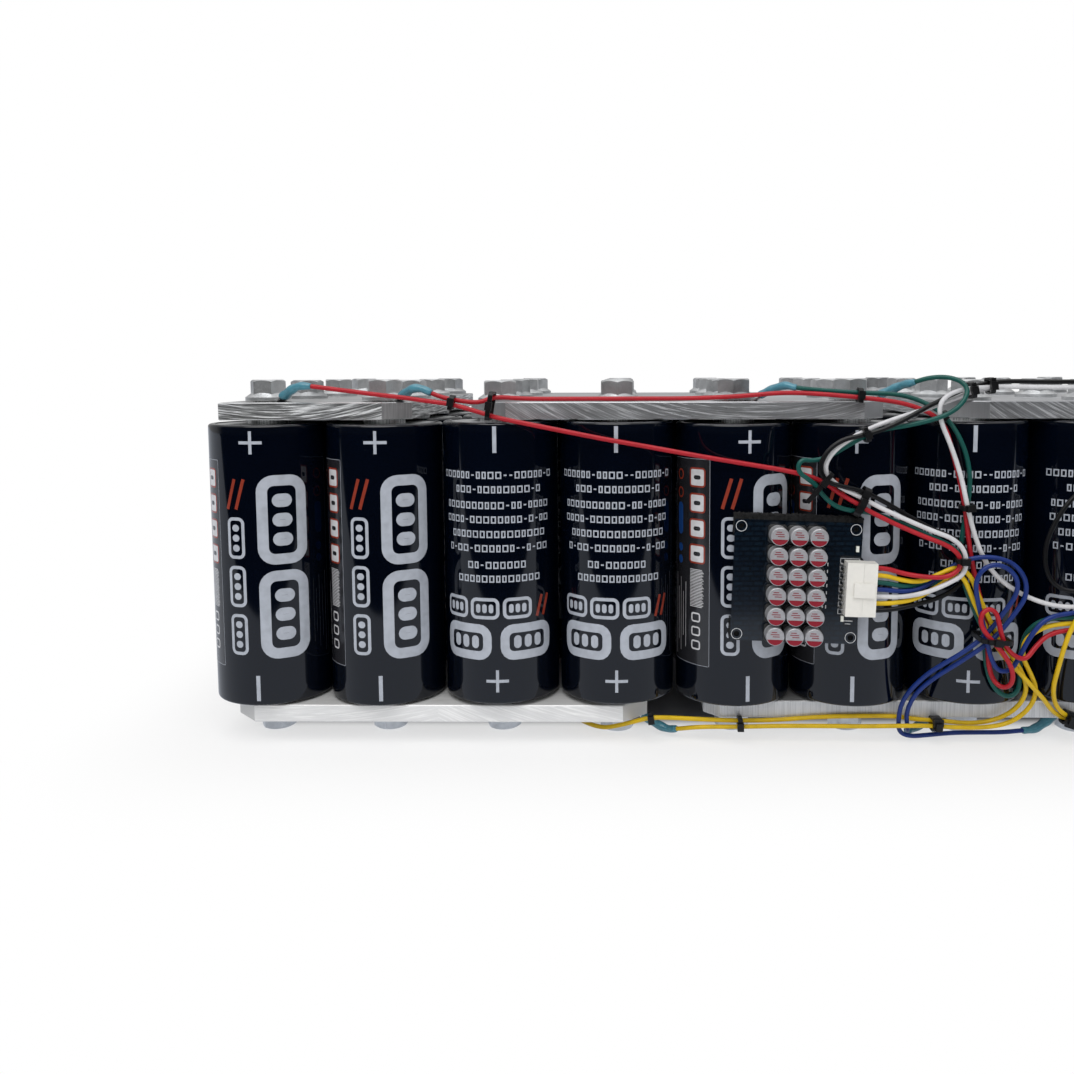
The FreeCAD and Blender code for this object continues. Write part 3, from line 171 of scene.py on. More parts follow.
class Finish(Tree):
    def __init__(self, name, **sockets):
        self.material = bpy.data.materials.new(name)
        self.material.use_nodes = True
        super().__init__(self.material.node_tree)
        self.shader = self.nodeTree.nodes["Principled BSDF"]
        self.put(**sockets)

    def put(self, **sockets):  # baseColor="..." goes to the socket Base Color
        for name, value in sockets.items():
            title = "".join(" " + letter if letter.isupper() else letter for letter in name)
            self.feed(self.shader.inputs[(title[0].upper() + title[1:]).replace("I O R", "IOR")], value)
        return self

    def bump(self, height, strength, distance):
        normal = self.node("ShaderNodeBump", None,
                           {"Height": height, "Strength": strength, "Distance": distance})
        return self.put(normal=normal)

    def paint(self, scale, first, second):  # the base colour: two tones by noise
        return self.put(baseColor=self.mix(self.noise(self.place(), scale), first, second))

    def relief(self, scale, detail, strength, distance):  # noise as bumps
        return self.bump(self.noise(self.place(), scale, detail), strength, distance)


def gridQuads(rows, columns, wrapRows=False, wrapColumns=False):
    # the corner numbers of every face of a grid of points
    down = np.arange(rows if wrapRows else rows - 1)
    along = np.arange(columns if wrapColumns else columns - 1)
    i, j = np.meshgrid(down, along, indexing="ij")
    nextRow, nextColumn = (i + 1) % rows, (j + 1) % columns
    corners = (i * columns + j, i * columns + nextColumn,
               nextRow * columns + nextColumn, nextRow * columns + j)
    return np.stack([corner.ravel() for corner in corners], axis=1)


def addObject(name, data):  # a new object in the scene
    made = bpy.data.objects.new(name, data)
    bpy.context.scene.collection.objects.link(made)
    return made


def makePiece(name, points, faces, finish, slot, smooth=True, weld=False):
    # a mesh piece that rides on the pack; weld joins the points that meet in one place, as at a pole
    mesh = bpy.data.meshes.new(name)
    mesh.from_pydata(points.reshape(-1, 3).tolist(), [], faces.tolist())
    if weld:
        shell = bmesh.new()
        shell.from_mesh(mesh)
        bmesh.ops.remove_doubles(shell, verts=shell.verts, dist=1e-7)
        shell.to_mesh(mesh)
        shell.free()
    mesh.polygons.foreach_set("use_smooth", np.full(len(mesh.polygons), smooth))
    mesh.materials.append(finish.material)
    piece = addObject(name, mesh)
    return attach(piece, "root")


def joined(parts):
    # several (points, faces) as one
    points, faces, count = [], [], 0
    for part, quads in parts:
        points.append(part.reshape(-1, part.shape[-1]))
        faces.append(quads + count)
        count += len(points[-1])
    return np.concatenate(points), np.concatenate(faces)


def dress(finish, *starts):
    # the finish of every CAD object whose name starts so
    for name in nodes:
        if name.startswith(starts):
            for holder in nodes[name].material_slots:
                holder.material = finish.material


# Camera: the photo's viewpoint, and its frame cut off to the right of the pack's middle.

photo = {
    "side": 1074, "focal": 952.39, "centre": (617.69, 455.39),
    "place": (-0.16243, -0.65023, 0.21212), "pitch": 0.08747, "yaw": -0.01264, "roll": 0.00265,
}


def makeCamera():
    # yaw turns the view to the right of +Y, pitch tilts it down, roll turns the picture
    pitch, yaw, roll = photo["pitch"], photo["yaw"], photo["roll"]
    ahead = Vector((math.sin(yaw) * math.cos(pitch), math.cos(yaw) * math.cos(pitch), -math.sin(pitch)))
    level = Vector((math.cos(yaw), -math.sin(yaw), 0))
    below = ahead.cross(level)
    right = level * math.cos(roll) + below * math.sin(roll)
    down = below * math.cos(roll) - level * math.sin(roll)
    turn = Matrix((right, -down, -ahead)).transposed().to_4x4()
    data = bpy.data.cameras.new("photoCamera")
    data.sensor_width = 36
    data.lens = photo["focal"] * data.sensor_width / photo["side"]
    data.shift_x = 0.5 - photo["centre"][0] / photo["side"]
    data.shift_y = photo["centre"][1] / photo["side"] - 0.5
    data.clip_start = 0.01
    camera = addObject("photoCamera", data)
    camera.matrix_world = Matrix.Translation(photo["place"]) @ turn
    bpy.context.scene.camera = camera


makeCamera()
print("camera placed")

# Wires: one smooth line each, from inside a terminal's insulating sleeve to inside a plug.

wireDiameter = 0.0026
wireColours = {
    "red": (0.42, 0.006, 0.016), "yellow": (0.7, 0.46, 0.003), "green": (0.002, 0.082, 0.068),
    "blue": (0.004, 0.026, 0.18), "white": (0.62, 0.62, 0.64), "black": (0.003, 0.003, 0.004),
}
wires = {
    "wire_1_red": {"length": 0.449, "points": [
        (-0.3557, -0.1091, 0.2018), (-0.3505, -0.1135, 0.2049), (-0.3415, -0.1145, 0.2045),
        (-0.331, -0.114, 0.203), (-0.3195, -0.1125, 0.2015), (-0.3045, -0.1125, 0.1995),
        (-0.2895, -0.115, 0.198), (-0.2755, -0.117, 0.196), (-0.2625, -0.1185, 0.1945),
        (-0.2495, -0.121, 0.191), (-0.2355, -0.126, 0.187), (-0.219, -0.13, 0.184),
        (-0.1995, -0.1295, 0.18), (-0.1765, -0.1305, 0.1755), (-0.1515, -0.1295, 0.171),
        (-0.124, -0.1305, 0.166), (-0.0975, -0.13, 0.1615), (-0.076, -0.1305, 0.158),
        (-0.0585, -0.131, 0.1535), (-0.0485, -0.132, 0.146), (-0.039, -0.134, 0.1405),
        (-0.03, -0.1345, 0.135), (-0.0155, -0.135, 0.128), (-0.001, -0.138, 0.122),
        (0.01, -0.14, 0.118), (0.016, -0.141, 0.1125), (0.016, -0.141, 0.1055), (0.009, -0.1415, 0.101),
        (-0.002, -0.141, 0.101), (-0.014, -0.1385, 0.1025), (-0.0234, -0.1379, 0.1055),
        (-0.0334, -0.1379, 0.1059),
    ]},
    "wire_1_yellow_left": {"length": 0.467, "points": [
        (-0.1819, -0.0464, 0.0063), (-0.1853, -0.0524, 0.0032), (-0.19, -0.06, 0.0025),
        (-0.195, -0.071, 0.002), (-0.196, -0.085, 0.003), (-0.19, -0.098, 0.004),
        (-0.179, -0.1075, 0.004), (-0.1705, -0.111, 0.0065), (-0.1615, -0.1155, 0.0105),
        (-0.151, -0.12, 0.015), (-0.1395, -0.1175, 0.014), (-0.122, -0.116, 0.0125),
        (-0.0995, -0.1155, 0.0115), (-0.077, -0.1155, 0.012), (-0.053, -0.1155, 0.014),
        (-0.03, -0.1155, 0.0145), (-0.0105, -0.1155, 0.0145), (0.002, -0.1155, 0.0125),
        (0.016, -0.116, 0.012), (0.0305, -0.1165, 0.0105), (0.0435, -0.1175, 0.012),
        (0.054, -0.1195, 0.0175), (0.059, -0.1245, 0.0265), (0.0585, -0.131, 0.0375),
        (0.053, -0.134, 0.0485), (0.0455, -0.135, 0.0585), (0.039, -0.135, 0.068),
        (0.033, -0.135, 0.08), (0.027, -0.136, 0.092), (0.0225, -0.138, 0.102), (0.015, -0.138, 0.1065),
        (0.0055, -0.138, 0.102), (-0.0045, -0.138, 0.0975), (-0.0155, -0.138, 0.099),
        (-0.0236, -0.1379, 0.1015), (-0.0336, -0.1379, 0.1019),
    ]},
    "wire_1_green": {"length": 0.323, "points": [
        (-0.0134, -0.1057, 0.2018), (-0.0074, -0.1091, 0.2049), (-0.005, -0.1155, 0.2055),
        (0.003, -0.119, 0.2085), (0.012, -0.123, 0.209), (0.019, -0.127, 0.2065),
        (0.0215, -0.13, 0.2015), (0.0175, -0.133, 0.1945), (0.0095, -0.1355, 0.189),
        (-0.0005, -0.135, 0.1855), (-0.0135, -0.1335, 0.1825), (-0.0265, -0.132, 0.1805),
        (-0.0365, -0.1315, 0.176), (-0.0465, -0.1315, 0.17), (-0.0555, -0.132, 0.165),
        (-0.0635, -0.133, 0.1635), (-0.068, -0.134, 0.1645), (-0.071, -0.1345, 0.162),
        (-0.0705, -0.1345, 0.1575), (-0.0665, -0.1345, 0.1545), (-0.0615, -0.134, 0.151),
        (-0.0575, -0.134, 0.145), (-0.051, -0.134, 0.139), (-0.0415, -0.1325, 0.136),
        (-0.029, -0.131, 0.135), (-0.0135, -0.132, 0.129), (0.002, -0.1325, 0.122),
        (0.0135, -0.1325, 0.117), (0.0195, -0.1325, 0.111), (0.02, -0.1325, 0.1035),
        (0.0145, -0.1325, 0.0985), (0.0065, -0.1325, 0.096), (-0.0035, -0.134, 0.0955),
        (-0.0135, -0.1375, 0.095), (-0.0237, -0.1379, 0.0976), (-0.0337, -0.1379, 0.0979),
    ]},
    "wire_1_blue": {"length": 0.238, "points": [
        (0.0116, -0.102, 0.0063), (0.0052, -0.1043, 0.0032), (-0.0005, -0.108, 0.003),
        (-0.002, -0.113, 0.005), (-0.0035, -0.1175, 0.01), (-0.0045, -0.1185, 0.0155),
        (-0.004, -0.1215, 0.023), (-0.001, -0.1255, 0.032), (0.006, -0.13, 0.041),
        (0.015, -0.134, 0.049), (0.024, -0.137, 0.0565), (0.0335, -0.1385, 0.064),
        (0.041, -0.138, 0.0715), (0.0475, -0.138, 0.0805), (0.053, -0.1385, 0.0895),
        (0.0525, -0.139, 0.0995), (0.046, -0.139, 0.108), (0.0365, -0.1385, 0.1115),
        (0.026, -0.138, 0.1115), (0.016, -0.135, 0.108), (0.005, -0.1355, 0.0985),
        (-0.005, -0.137, 0.093), (-0.0155, -0.138, 0.0925), (-0.0239, -0.1379, 0.0936),
        (-0.0339, -0.1379, 0.094),
    ]},
    "wire_1_white": {"length": 0.384, "points": [
        (0.1517, -0.1091, 0.2018), (0.1465, -0.1135, 0.2049), (0.141, -0.117, 0.2055),
        (0.13, -0.1175, 0.2045), (0.116, -0.1155, 0.2035), (0.098, -0.114, 0.203),
        (0.072, -0.1145, 0.203), (0.0525, -0.1145, 0.2035), (0.037, -0.115, 0.2025),
        (0.0245, -0.119, 0.1995), (0.0125, -0.124, 0.1955), (-0.001, -0.1295, 0.1915),
        (-0.0175, -0.134, 0.187), (-0.0325, -0.1345, 0.1815), (-0.0455, -0.135, 0.1745),
        (-0.054, -0.135, 0.167), (-0.057, -0.1345, 0.1585), (-0.0505, -0.1345, 0.1505),
        (-0.038, -0.134, 0.1445), (-0.026, -0.134, 0.138), (-0.013, -0.135, 0.132),
        (0.001, -0.138, 0.126), (0.0125, -0.1405, 0.122), (0.019, -0.141, 0.1145),
        (0.019, -0.141, 0.103), (0.0095, -0.141, 0.0975), (-0.002, -0.141, 0.0925),
        (-0.014, -0.1385, 0.0895), (-0.024, -0.1379, 0.0897), (-0.034, -0.1379, 0.09),
    ]},
    "wire_1_yellow_right": {"length": 0.239, "points": [
        (0.1494, -0.1057, 0.0063), (0.1434, -0.1091, 0.0032), (0.139, -0.1115, 0.0025),
        (0.129, -0.1135, 0.0035), (0.113, -0.1155, 0.0095), (0.0985, -0.1165, 0.012),
        (0.0855, -0.118, 0.014), (0.0765, -0.1225, 0.02), (0.0695, -0.1285, 0.0285),
        (0.0605, -0.134, 0.0375), (0.051, -0.137, 0.0475), (0.043, -0.136, 0.0555),
        (0.037, -0.1355, 0.0645), (0.0305, -0.135, 0.0765), (0.025, -0.136, 0.0875),
        (0.0215, -0.1375, 0.0955), (0.0185, -0.138, 0.1005), (0.0145, -0.1385, 0.102),
        (0.0095, -0.1385, 0.0985), (0.0015, -0.138, 0.093), (-0.0075, -0.1375, 0.088),
        (-0.016, -0.138, 0.0865), (-0.0242, -0.1379, 0.0857), (-0.0342, -0.1379, 0.0861),
    ]},
    "wire_1_black": {"length": 0.541, "points": [
        (0.2877, -0.1091, 0.2018), (0.2825, -0.1135, 0.2049), (0.277, -0.117, 0.2055),
        (0.266, -0.1195, 0.2045), (0.248, -0.121, 0.2035), (0.214, -0.1225, 0.2045),
        (0.18, -0.121, 0.2055), (0.15, -0.122, 0.2065), (0.12, -0.119, 0.2065),
        (0.0935, -0.1165, 0.206), (0.066, -0.116, 0.206), (0.049, -0.116, 0.2065),
        (0.0355, -0.117, 0.2055), (0.023, -0.1215, 0.2025), (0.011, -0.127, 0.198),
        (-0.002, -0.1325, 0.1925), (-0.0155, -0.1365, 0.1855), (-0.028, -0.1375, 0.18),
        (-0.0385, -0.1375, 0.1775), (-0.048, -0.1375, 0.1755), (-0.0565, -0.1375, 0.169),
        (-0.0605, -0.1375, 0.16), (-0.0565, -0.1375, 0.1525), (-0.047, -0.1375, 0.15),
        (-0.0365, -0.135, 0.1475), (-0.023, -0.132, 0.141), (-0.01, -0.1315, 0.133),
        (0.004, -0.1325, 0.1255), (0.0155, -0.1325, 0.121), (0.0225, -0.1325, 0.1135),
        (0.023, -0.1325, 0.1015), (0.017, -0.133, 0.093), (0.006, -0.1345, 0.0875),
        (-0.0105, -0.1375, 0.084), (-0.0243, -0.1379, 0.0817), (-0.0343, -0.1379, 0.0821),
    ]},
    "wire_2_red": {"length": 0.675, "points": [
        (-0.2877, -0.1091, 0.2018), (-0.2825, -0.1135, 0.2049), (-0.2705, -0.1135, 0.1985),
        (-0.2575, -0.117, 0.196), (-0.246, -0.1175, 0.195), (-0.239, -0.1145, 0.1985),
        (-0.222, -0.112, 0.197), (-0.195, -0.111, 0.197), (-0.16, -0.1105, 0.197),
        (-0.125, -0.111, 0.197), (-0.096, -0.111, 0.1985), (-0.0755, -0.114, 0.2005),
        (-0.055, -0.1165, 0.1995), (-0.033, -0.1175, 0.1975), (-0.012, -0.118, 0.195),
        (0.003, -0.12, 0.19), (0.011, -0.1245, 0.183), (0.014, -0.1285, 0.169),
        (0.0185, -0.1295, 0.1525), (0.021, -0.1315, 0.1375), (0.023, -0.1315, 0.1225),
        (0.0255, -0.1315, 0.1075), (0.029, -0.1315, 0.093), (0.033, -0.132, 0.0795),
        (0.0355, -0.1325, 0.066), (0.0355, -0.1325, 0.055), (0.037, -0.1325, 0.0455),
        (0.0395, -0.135, 0.04), (0.043, -0.138, 0.0385), (0.046, -0.141, 0.042),
        (0.0455, -0.143, 0.0495), (0.041, -0.144, 0.058), (0.0345, -0.1445, 0.0655),
        (0.029, -0.1445, 0.0715), (0.0265, -0.144, 0.077), (0.0275, -0.1435, 0.082),
        (0.0315, -0.143, 0.0845), (0.0355, -0.143, 0.082), (0.037, -0.143, 0.0765),
        (0.0385, -0.143, 0.07), (0.041, -0.143, 0.063), (0.0465, -0.143, 0.0575),
        (0.0525, -0.1425, 0.056), (0.058, -0.1405, 0.0625), (0.0655, -0.1385, 0.069),
        (0.0775, -0.138, 0.0715), (0.094, -0.138, 0.0725), (0.1125, -0.138, 0.076),
        (0.1315, -0.138, 0.0805), (0.1475, -0.138, 0.0835), (0.1572, -0.1379, 0.0845),
        (0.1672, -0.1379, 0.0849),
    ]},
    "wire_2_yellow_left": {"length": 0.385, "points": [
        (-0.1484, -0.1039, 0.0063), (-0.1422, -0.1068, 0.0032), (-0.1355, -0.1115, 0.005),
        (-0.122, -0.117, 0.0085), (-0.1, -0.1185, 0.009), (-0.0795, -0.1195, 0.01),
        (-0.054, -0.1195, 0.01), (-0.031, -0.12, 0.01), (-0.011, -0.1205, 0.0105),
        (0.0075, -0.12, 0.0105), (0.023, -0.12, 0.0095), (0.0385, -0.1205, 0.0095),
        (0.0515, -0.1215, 0.012), (0.0595, -0.1235, 0.018), (0.0645, -0.126, 0.0265),
        (0.0645, -0.129, 0.036), (0.0585, -0.133, 0.0465), (0.053, -0.1365, 0.0555),
        (0.0525, -0.138, 0.064), (0.058, -0.138, 0.07), (0.067, -0.138, 0.074), (0.0795, -0.138, 0.075),
        (0.0965, -0.138, 0.076), (0.115, -0.138, 0.08), (0.132, -0.138, 0.0845), (0.148, -0.138, 0.088),
        (0.1571, -0.1379, 0.0885), (0.1671, -0.1379, 0.0889),
    ]},
    "wire_2_green": {"length": 0.426, "points": [
        (-0.0814, -0.1057, 0.2018), (-0.0754, -0.1091, 0.2049), (-0.07, -0.1145, 0.203),
        (-0.0545, -0.114, 0.2015), (-0.033, -0.1145, 0.2), (-0.0135, -0.115, 0.1995),
        (-0.002, -0.117, 0.1965), (0.008, -0.1205, 0.191), (0.014, -0.1245, 0.184),
        (0.019, -0.128, 0.1745), (0.023, -0.129, 0.1625), (0.0245, -0.129, 0.1485),
        (0.022, -0.1285, 0.1305), (0.02, -0.1285, 0.115), (0.0215, -0.129, 0.097),
        (0.0275, -0.1295, 0.0815), (0.0345, -0.13, 0.0665), (0.035, -0.1295, 0.0535),
        (0.0375, -0.129, 0.042), (0.042, -0.1295, 0.034), (0.0485, -0.13, 0.0305),
        (0.054, -0.13, 0.034), (0.055, -0.1295, 0.0425), (0.054, -0.131, 0.0545),
        (0.0545, -0.1335, 0.0665), (0.059, -0.136, 0.074), (0.067, -0.138, 0.078),
        (0.0795, -0.138, 0.078), (0.098, -0.138, 0.0795), (0.115, -0.138, 0.0835),
        (0.133, -0.138, 0.0885), (0.149, -0.138, 0.092), (0.1569, -0.1379, 0.0925),
        (0.1669, -0.1379, 0.0928),
    ]},
    "wire_2_blue": {"length": 0.438, "points": [
        (0.0804, -0.1039, 0.0063), (0.0742, -0.1068, 0.0032), (0.067, -0.1085, 0.0035),
        (0.054, -0.1105, 0.003), (0.039, -0.112, 0.0035), (0.024, -0.1125, 0.0035),
        (0.0105, -0.1145, 0.003), (-0.002, -0.116, 0.0025), (-0.008, -0.116, 0.0055),
        (-0.009, -0.119, 0.0145), (-0.0085, -0.1215, 0.0235), (-0.005, -0.1255, 0.033),
        (0.0025, -0.13, 0.0435), (0.0115, -0.134, 0.0515), (0.019, -0.137, 0.0575),
        (0.0285, -0.138, 0.065), (0.0355, -0.138, 0.0725), (0.0415, -0.138, 0.081),
        (0.0475, -0.1385, 0.09), (0.048, -0.14, 0.099), (0.042, -0.1415, 0.106),
        (0.0345, -0.1415, 0.1085), (0.0275, -0.1415, 0.1055), (0.0245, -0.1405, 0.098),
        (0.026, -0.14, 0.0885), (0.0285, -0.1405, 0.0785), (0.031, -0.1415, 0.0675),
        (0.034, -0.141, 0.056), (0.0385, -0.14, 0.0485), (0.046, -0.1395, 0.049),
        (0.0505, -0.14, 0.058), (0.0545, -0.141, 0.068), (0.063, -0.141, 0.079),
        (0.079, -0.1385, 0.081), (0.099, -0.138, 0.083), (0.1155, -0.138, 0.087),
        (0.133, -0.138, 0.092), (0.149, -0.138, 0.0955), (0.1568, -0.1379, 0.0964),
        (0.1668, -0.1379, 0.0968),
    ]},
    "wire_2_white": {"length": 0.458, "points": [
        (0.2197, -0.1091, 0.2018), (0.2145, -0.1135, 0.2049), (0.209, -0.1175, 0.2055),
        (0.197, -0.1185, 0.203), (0.18, -0.1185, 0.2015), (0.156, -0.119, 0.2005),
        (0.128, -0.1185, 0.2005), (0.094, -0.1175, 0.203), (0.068, -0.1175, 0.203),
        (0.0485, -0.1175, 0.2035), (0.033, -0.121, 0.203), (0.0215, -0.125, 0.2025),
        (0.0105, -0.13, 0.1995), (0.005, -0.1325, 0.194), (0.006, -0.1325, 0.185),
        (0.0125, -0.1315, 0.1715), (0.018, -0.1325, 0.155), (0.021, -0.1345, 0.1395),
        (0.025, -0.1345, 0.124), (0.031, -0.1345, 0.109), (0.04, -0.1345, 0.098),
        (0.052, -0.1355, 0.09), (0.0655, -0.1375, 0.085), (0.0795, -0.138, 0.0835),
        (0.0975, -0.138, 0.0865), (0.1155, -0.138, 0.091), (0.134, -0.138, 0.0965),
        (0.1485, -0.138, 0.0995), (0.1566, -0.1379, 0.1004), (0.1666, -0.1379, 0.1007),
    ]},
    "wire_2_yellow_right": {"length": 0.3, "points": [
        (0.2174, -0.1057, 0.0063), (0.2114, -0.1091, 0.0032), (0.2065, -0.1115, 0.0025),
        (0.196, -0.114, 0.0035), (0.176, -0.1155, 0.0065), (0.146, -0.116, 0.009),
        (0.115, -0.1175, 0.012), (0.099, -0.119, 0.013), (0.085, -0.121, 0.0165),
        (0.077, -0.1245, 0.0245), (0.073, -0.13, 0.036), (0.073, -0.136, 0.0495),
        (0.0735, -0.1405, 0.062), (0.077, -0.1415, 0.074), (0.0835, -0.1415, 0.085),
        (0.0965, -0.14, 0.092), (0.1155, -0.138, 0.0955), (0.1335, -0.138, 0.1005),
        (0.1485, -0.138, 0.1035), (0.1565, -0.1379, 0.1043), (0.1665, -0.1379, 0.1047),
    ]},
    "wire_2_black": {"length": 0.444, "points": [
        (0.3557, -0.1091, 0.2018), (0.3505, -0.1135, 0.2049), (0.345, -0.117, 0.2055),
        (0.335, -0.1215, 0.202), (0.32, -0.126, 0.198), (0.293, -0.1295, 0.193), (0.262, -0.1305, 0.19),
        (0.226, -0.131, 0.1875), (0.19, -0.131, 0.184), (0.152, -0.131, 0.178), (0.118, -0.131, 0.168),
        (0.094, -0.131, 0.1555), (0.079, -0.131, 0.143), (0.071, -0.1305, 0.1305),
        (0.0655, -0.131, 0.117), (0.0655, -0.132, 0.1035), (0.07, -0.134, 0.0945),
        (0.0795, -0.1365, 0.0915), (0.096, -0.138, 0.0945), (0.1145, -0.138, 0.099),
        (0.1325, -0.138, 0.104), (0.1485, -0.138, 0.107), (0.1563, -0.1379, 0.1083),
        (0.1663, -0.1379, 0.1087),
    ]},
}


def wireFinish(colour):
    # soft vinyl: faint dirt along the wire and a slightly uneven skin
    finish = Finish("vinyl_" + colour, specularIORLevel=0.4)
    place = finish.place()
    patches = finish.noise(place, 160, 4)
    dirt = finish.step(patches, 0.35, 0.75)
    base = wireColours[colour]
    darker = tuple(part * 0.7 for part in base)
    finish.put(baseColor=finish.mix(dirt * 0.5, base, darker), roughness=finish.noise(place, 400) * 0.2 + 0.3)
    return finish.relief(2500, 2, 0.15, 0.0001)


def makeWires():
    # a round cord of even thickness, led by the same points as the CAD wire
    finishes = {colour: wireFinish(colour) for colour in wireColours}
    for name, wire in wires.items():
        colour = name.split("_")[2]
        curve = bpy.data.curves.new(name, "CURVE")
        curve.dimensions = "3D"
        curve.bevel_depth = wireDiameter / 2
        curve.bevel_resolution = 4
        curve.resolution_u = 8
        curve.use_fill_caps = True
        spline = curve.splines.new("NURBS")
        spline.points.add(len(wire["points"]) - 1)
        for point, place in zip(spline.points, wire["points"]):
            point.co = (*place, 1)
        spline.order_u = 3
        spline.use_endpoint_u = True
        curve.materials.append(finishes[colour].material)
        piece = addObject(name.replace("wire", "lead"), curve)
        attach(piece, "root")
        "wire_" + colour
        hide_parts(name)


makeWires()
print("wires laid")

# Insulating boots: soft sleeves pulled over the ring terminals' necks and on along the wires.

boot = {  # millimetres behind the wire's start, along it in the solid sleeve, and past that sleeve's end
    "behind": 8.2, "inside": 5.0, "past": 10.5, "rings": 34, "segments": 28,
    "halfWide": 3.5, "narrows": 1.3, "halfTall": 2.4, "bulges": 1.2, "flattens": 0.55, "pinch": 0.07,
}
bootFinish = Finish("tealVinyl", roughness=0.3, specularIORLevel=0.55, coatWeight=0.25, coatRoughness=0.15)


def wireLine(name):
    # the points of a wire's own smooth line
    curve = bpy.data.objects[name.replace("wire", "lead")].data.copy()
    curve.bevel_depth = 0
    bare = bpy.data.objects.new("bareLine", curve)
    mesh = bpy.data.meshes.new_from_object(bare)
    line = np.array([vertex.co for vertex in mesh.vertices])
    bpy.data.objects.remove(bare)
    bpy.data.curves.remove(curve)
    bpy.data.meshes.remove(mesh)
    return line


def bootShape(name):
    # a flattened tube along the neck's line and then the wire's: centre + across a cos t + up b sin t,
    # with the half widths a, b shrinking from the ring's end to the wire and faint pinches
    first, second = (np.array(point) for point in wires[name]["points"][:2])
    ahead = (second - first) / np.linalg.norm(second - first)
    line = wireLine(name)
    reach = np.concatenate([[0], np.cumsum(np.linalg.norm(np.diff(line, axis=0), axis=1))]) / mm
    along = np.linspace(-boot["behind"], boot["inside"] + boot["past"], boot["rings"])
    follow = np.stack([np.interp(np.maximum(along, 0), reach, line[:, axis]) for axis in range(3)], axis=1)
    centre = follow + np.minimum(along, 0)[:, None] * mm * ahead
    tangent = np.gradient(centre, axis=0)
    tangent /= np.linalg.norm(tangent, axis=1, keepdims=True)
    side = np.cross(tangent, (0, 0, 1))
    side /= np.linalg.norm(side, axis=1, keepdims=True)
    over = np.cross(side, tangent)
    share = np.clip((along + boot["behind"]) / (boot["behind"] + boot["inside"] + boot["past"]), 0, 1)
    pinch = 1 + boot["pinch"] * np.sin(share * 17 + first[0] * 900)
    wide = (boot["halfWide"] - boot["narrows"] * share) * pinch * mm
    tall = (boot["halfTall"] + boot["bulges"] * share * (1 - share) - boot["flattens"] * share) * pinch * mm
    ends = np.ones(boot["rings"])
    ends[0], ends[1], ends[-1] = 0.35, 0.93, 0.93
    around = circle(boot["segments"])
    points = (centre[:, None] + side[:, None] * (wide * ends)[:, None, None] * np.cos(around)[None, :, None]
              + over[:, None] * (tall * ends)[:, None, None] * np.sin(around)[None, :, None])
    poles = [np.repeat(centre[end][None, None], boot["segments"], axis=1) for end in (0, -1)]
    points = np.concatenate([poles[0], points, poles[1]])
    return points, gridQuads(len(points), boot["segments"], wrapColumns=True)[:, ::-1]


def makeBoots():
    # one on every wire; the red wire's stands for all the solid sleeves of its set
    for name in wires:
        piece = makePiece(name.replace("wire", "boot"), *bootShape(name), bootFinish, "terminal_sleeve",
                          weld=True)
        if name.endswith("_red"):
            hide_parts("terminal_sleeves_" + name.split("_")[1])
    bootFinish.paint(300, (0.03, 0.14, 0.2), (0.09, 0.3, 0.38)).relief(450, 3, 0.4, 0.0004)


makeBoots()
print("boots pulled on")

# Sleeves: heat-shrink film over every cell, each turned a little differently.

sleeve = {
    "wall": 0.0003, "lip": 0.02945, "round": 0.00165, "ripple": 0.00035, "segments": 96,
    "turns": (2.2, 4.7, 1.5, 0.1, 10, -6.2, -11.5, 4, -3, 7, 2, -5),  # front cells, degrees
}
filmFinish = Finish("shrinkFilm", roughness=0.09, specularIORLevel=0.5)


def cellTurn(column, row):  # the printed mark's way round the cell, in degrees from the front
    if row == 0:
        return sleeve["turns"][column]
    return (column * 67 + row * 101) % 360 - 180


def sleeveProfile():
    # outer wall from the folded lip above to the lip below, then back inside: (radius, height)
    wall, lip, bend, tall = sleeve["wall"], sleeve["lip"], sleeve["round"], pack["sleeveTall"]
    outer = pack["sleeveRadius"]
    sweep = np.radians(np.linspace(90, 0, 6))
    top = np.stack([outer - bend + bend * np.cos(sweep), tall - bend + bend * np.sin(sweep)], axis=1)
    side = np.array([[outer, tall * share] for share in (0.96, 0.75, 0.5, 0.25, 0.04)])
    bottom = np.stack([top[::-1, 0], tall - top[::-1, 1]], axis=1)
    inner = np.array([[lip, wall], [outer - wall - 0.6 * bend, wall], [outer - wall, 1.2 * bend],
                      [outer - wall, tall - 1.2 * bend], [outer - wall - 0.6 * bend, tall - wall],
                      [lip, tall - wall]])
    return np.concatenate([[[lip, tall]], top, side, bottom, [[lip, 0]], inner])


def makeSleeves():
    # the profile is carried round each cell's axis; the lip's edge wanders a little
    profile = sleeveProfile()
    count = sleeve["segments"]
    around = circle(count)
    faces = gridQuads(len(profile), count, wrapRows=True, wrapColumns=True)[:, ::-1]
    for group in range(pack["columns"] // 2):
        parts = []
        for column, row in cellsOf(group):
            foot = pack["plusFoot"] if plusUp(column) else pack["minusFoot"]
            radius = np.repeat(profile[:, :1], count, axis=1)
            edge = radius < sleeve["lip"] + 0.0001
            ripple = np.sin(around * 3 + column) + 0.6 * np.sin(around * 7 + row * 2 + column)
            radius = radius + edge * sleeve["ripple"] * ripple
            x = columnAt(column) + radius * np.sin(around)
            y = rowAt(row) - radius * np.cos(around)
            z = foot + np.repeat(profile[:, 1:], count, axis=1)
            parts.append((np.stack([x, y, z], axis=2), faces))
        piece = makePiece(f"film_{group + 1}", *joined(parts), filmFinish, "sleeve")
        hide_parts(f"cell_sleeves_{group + 1}")


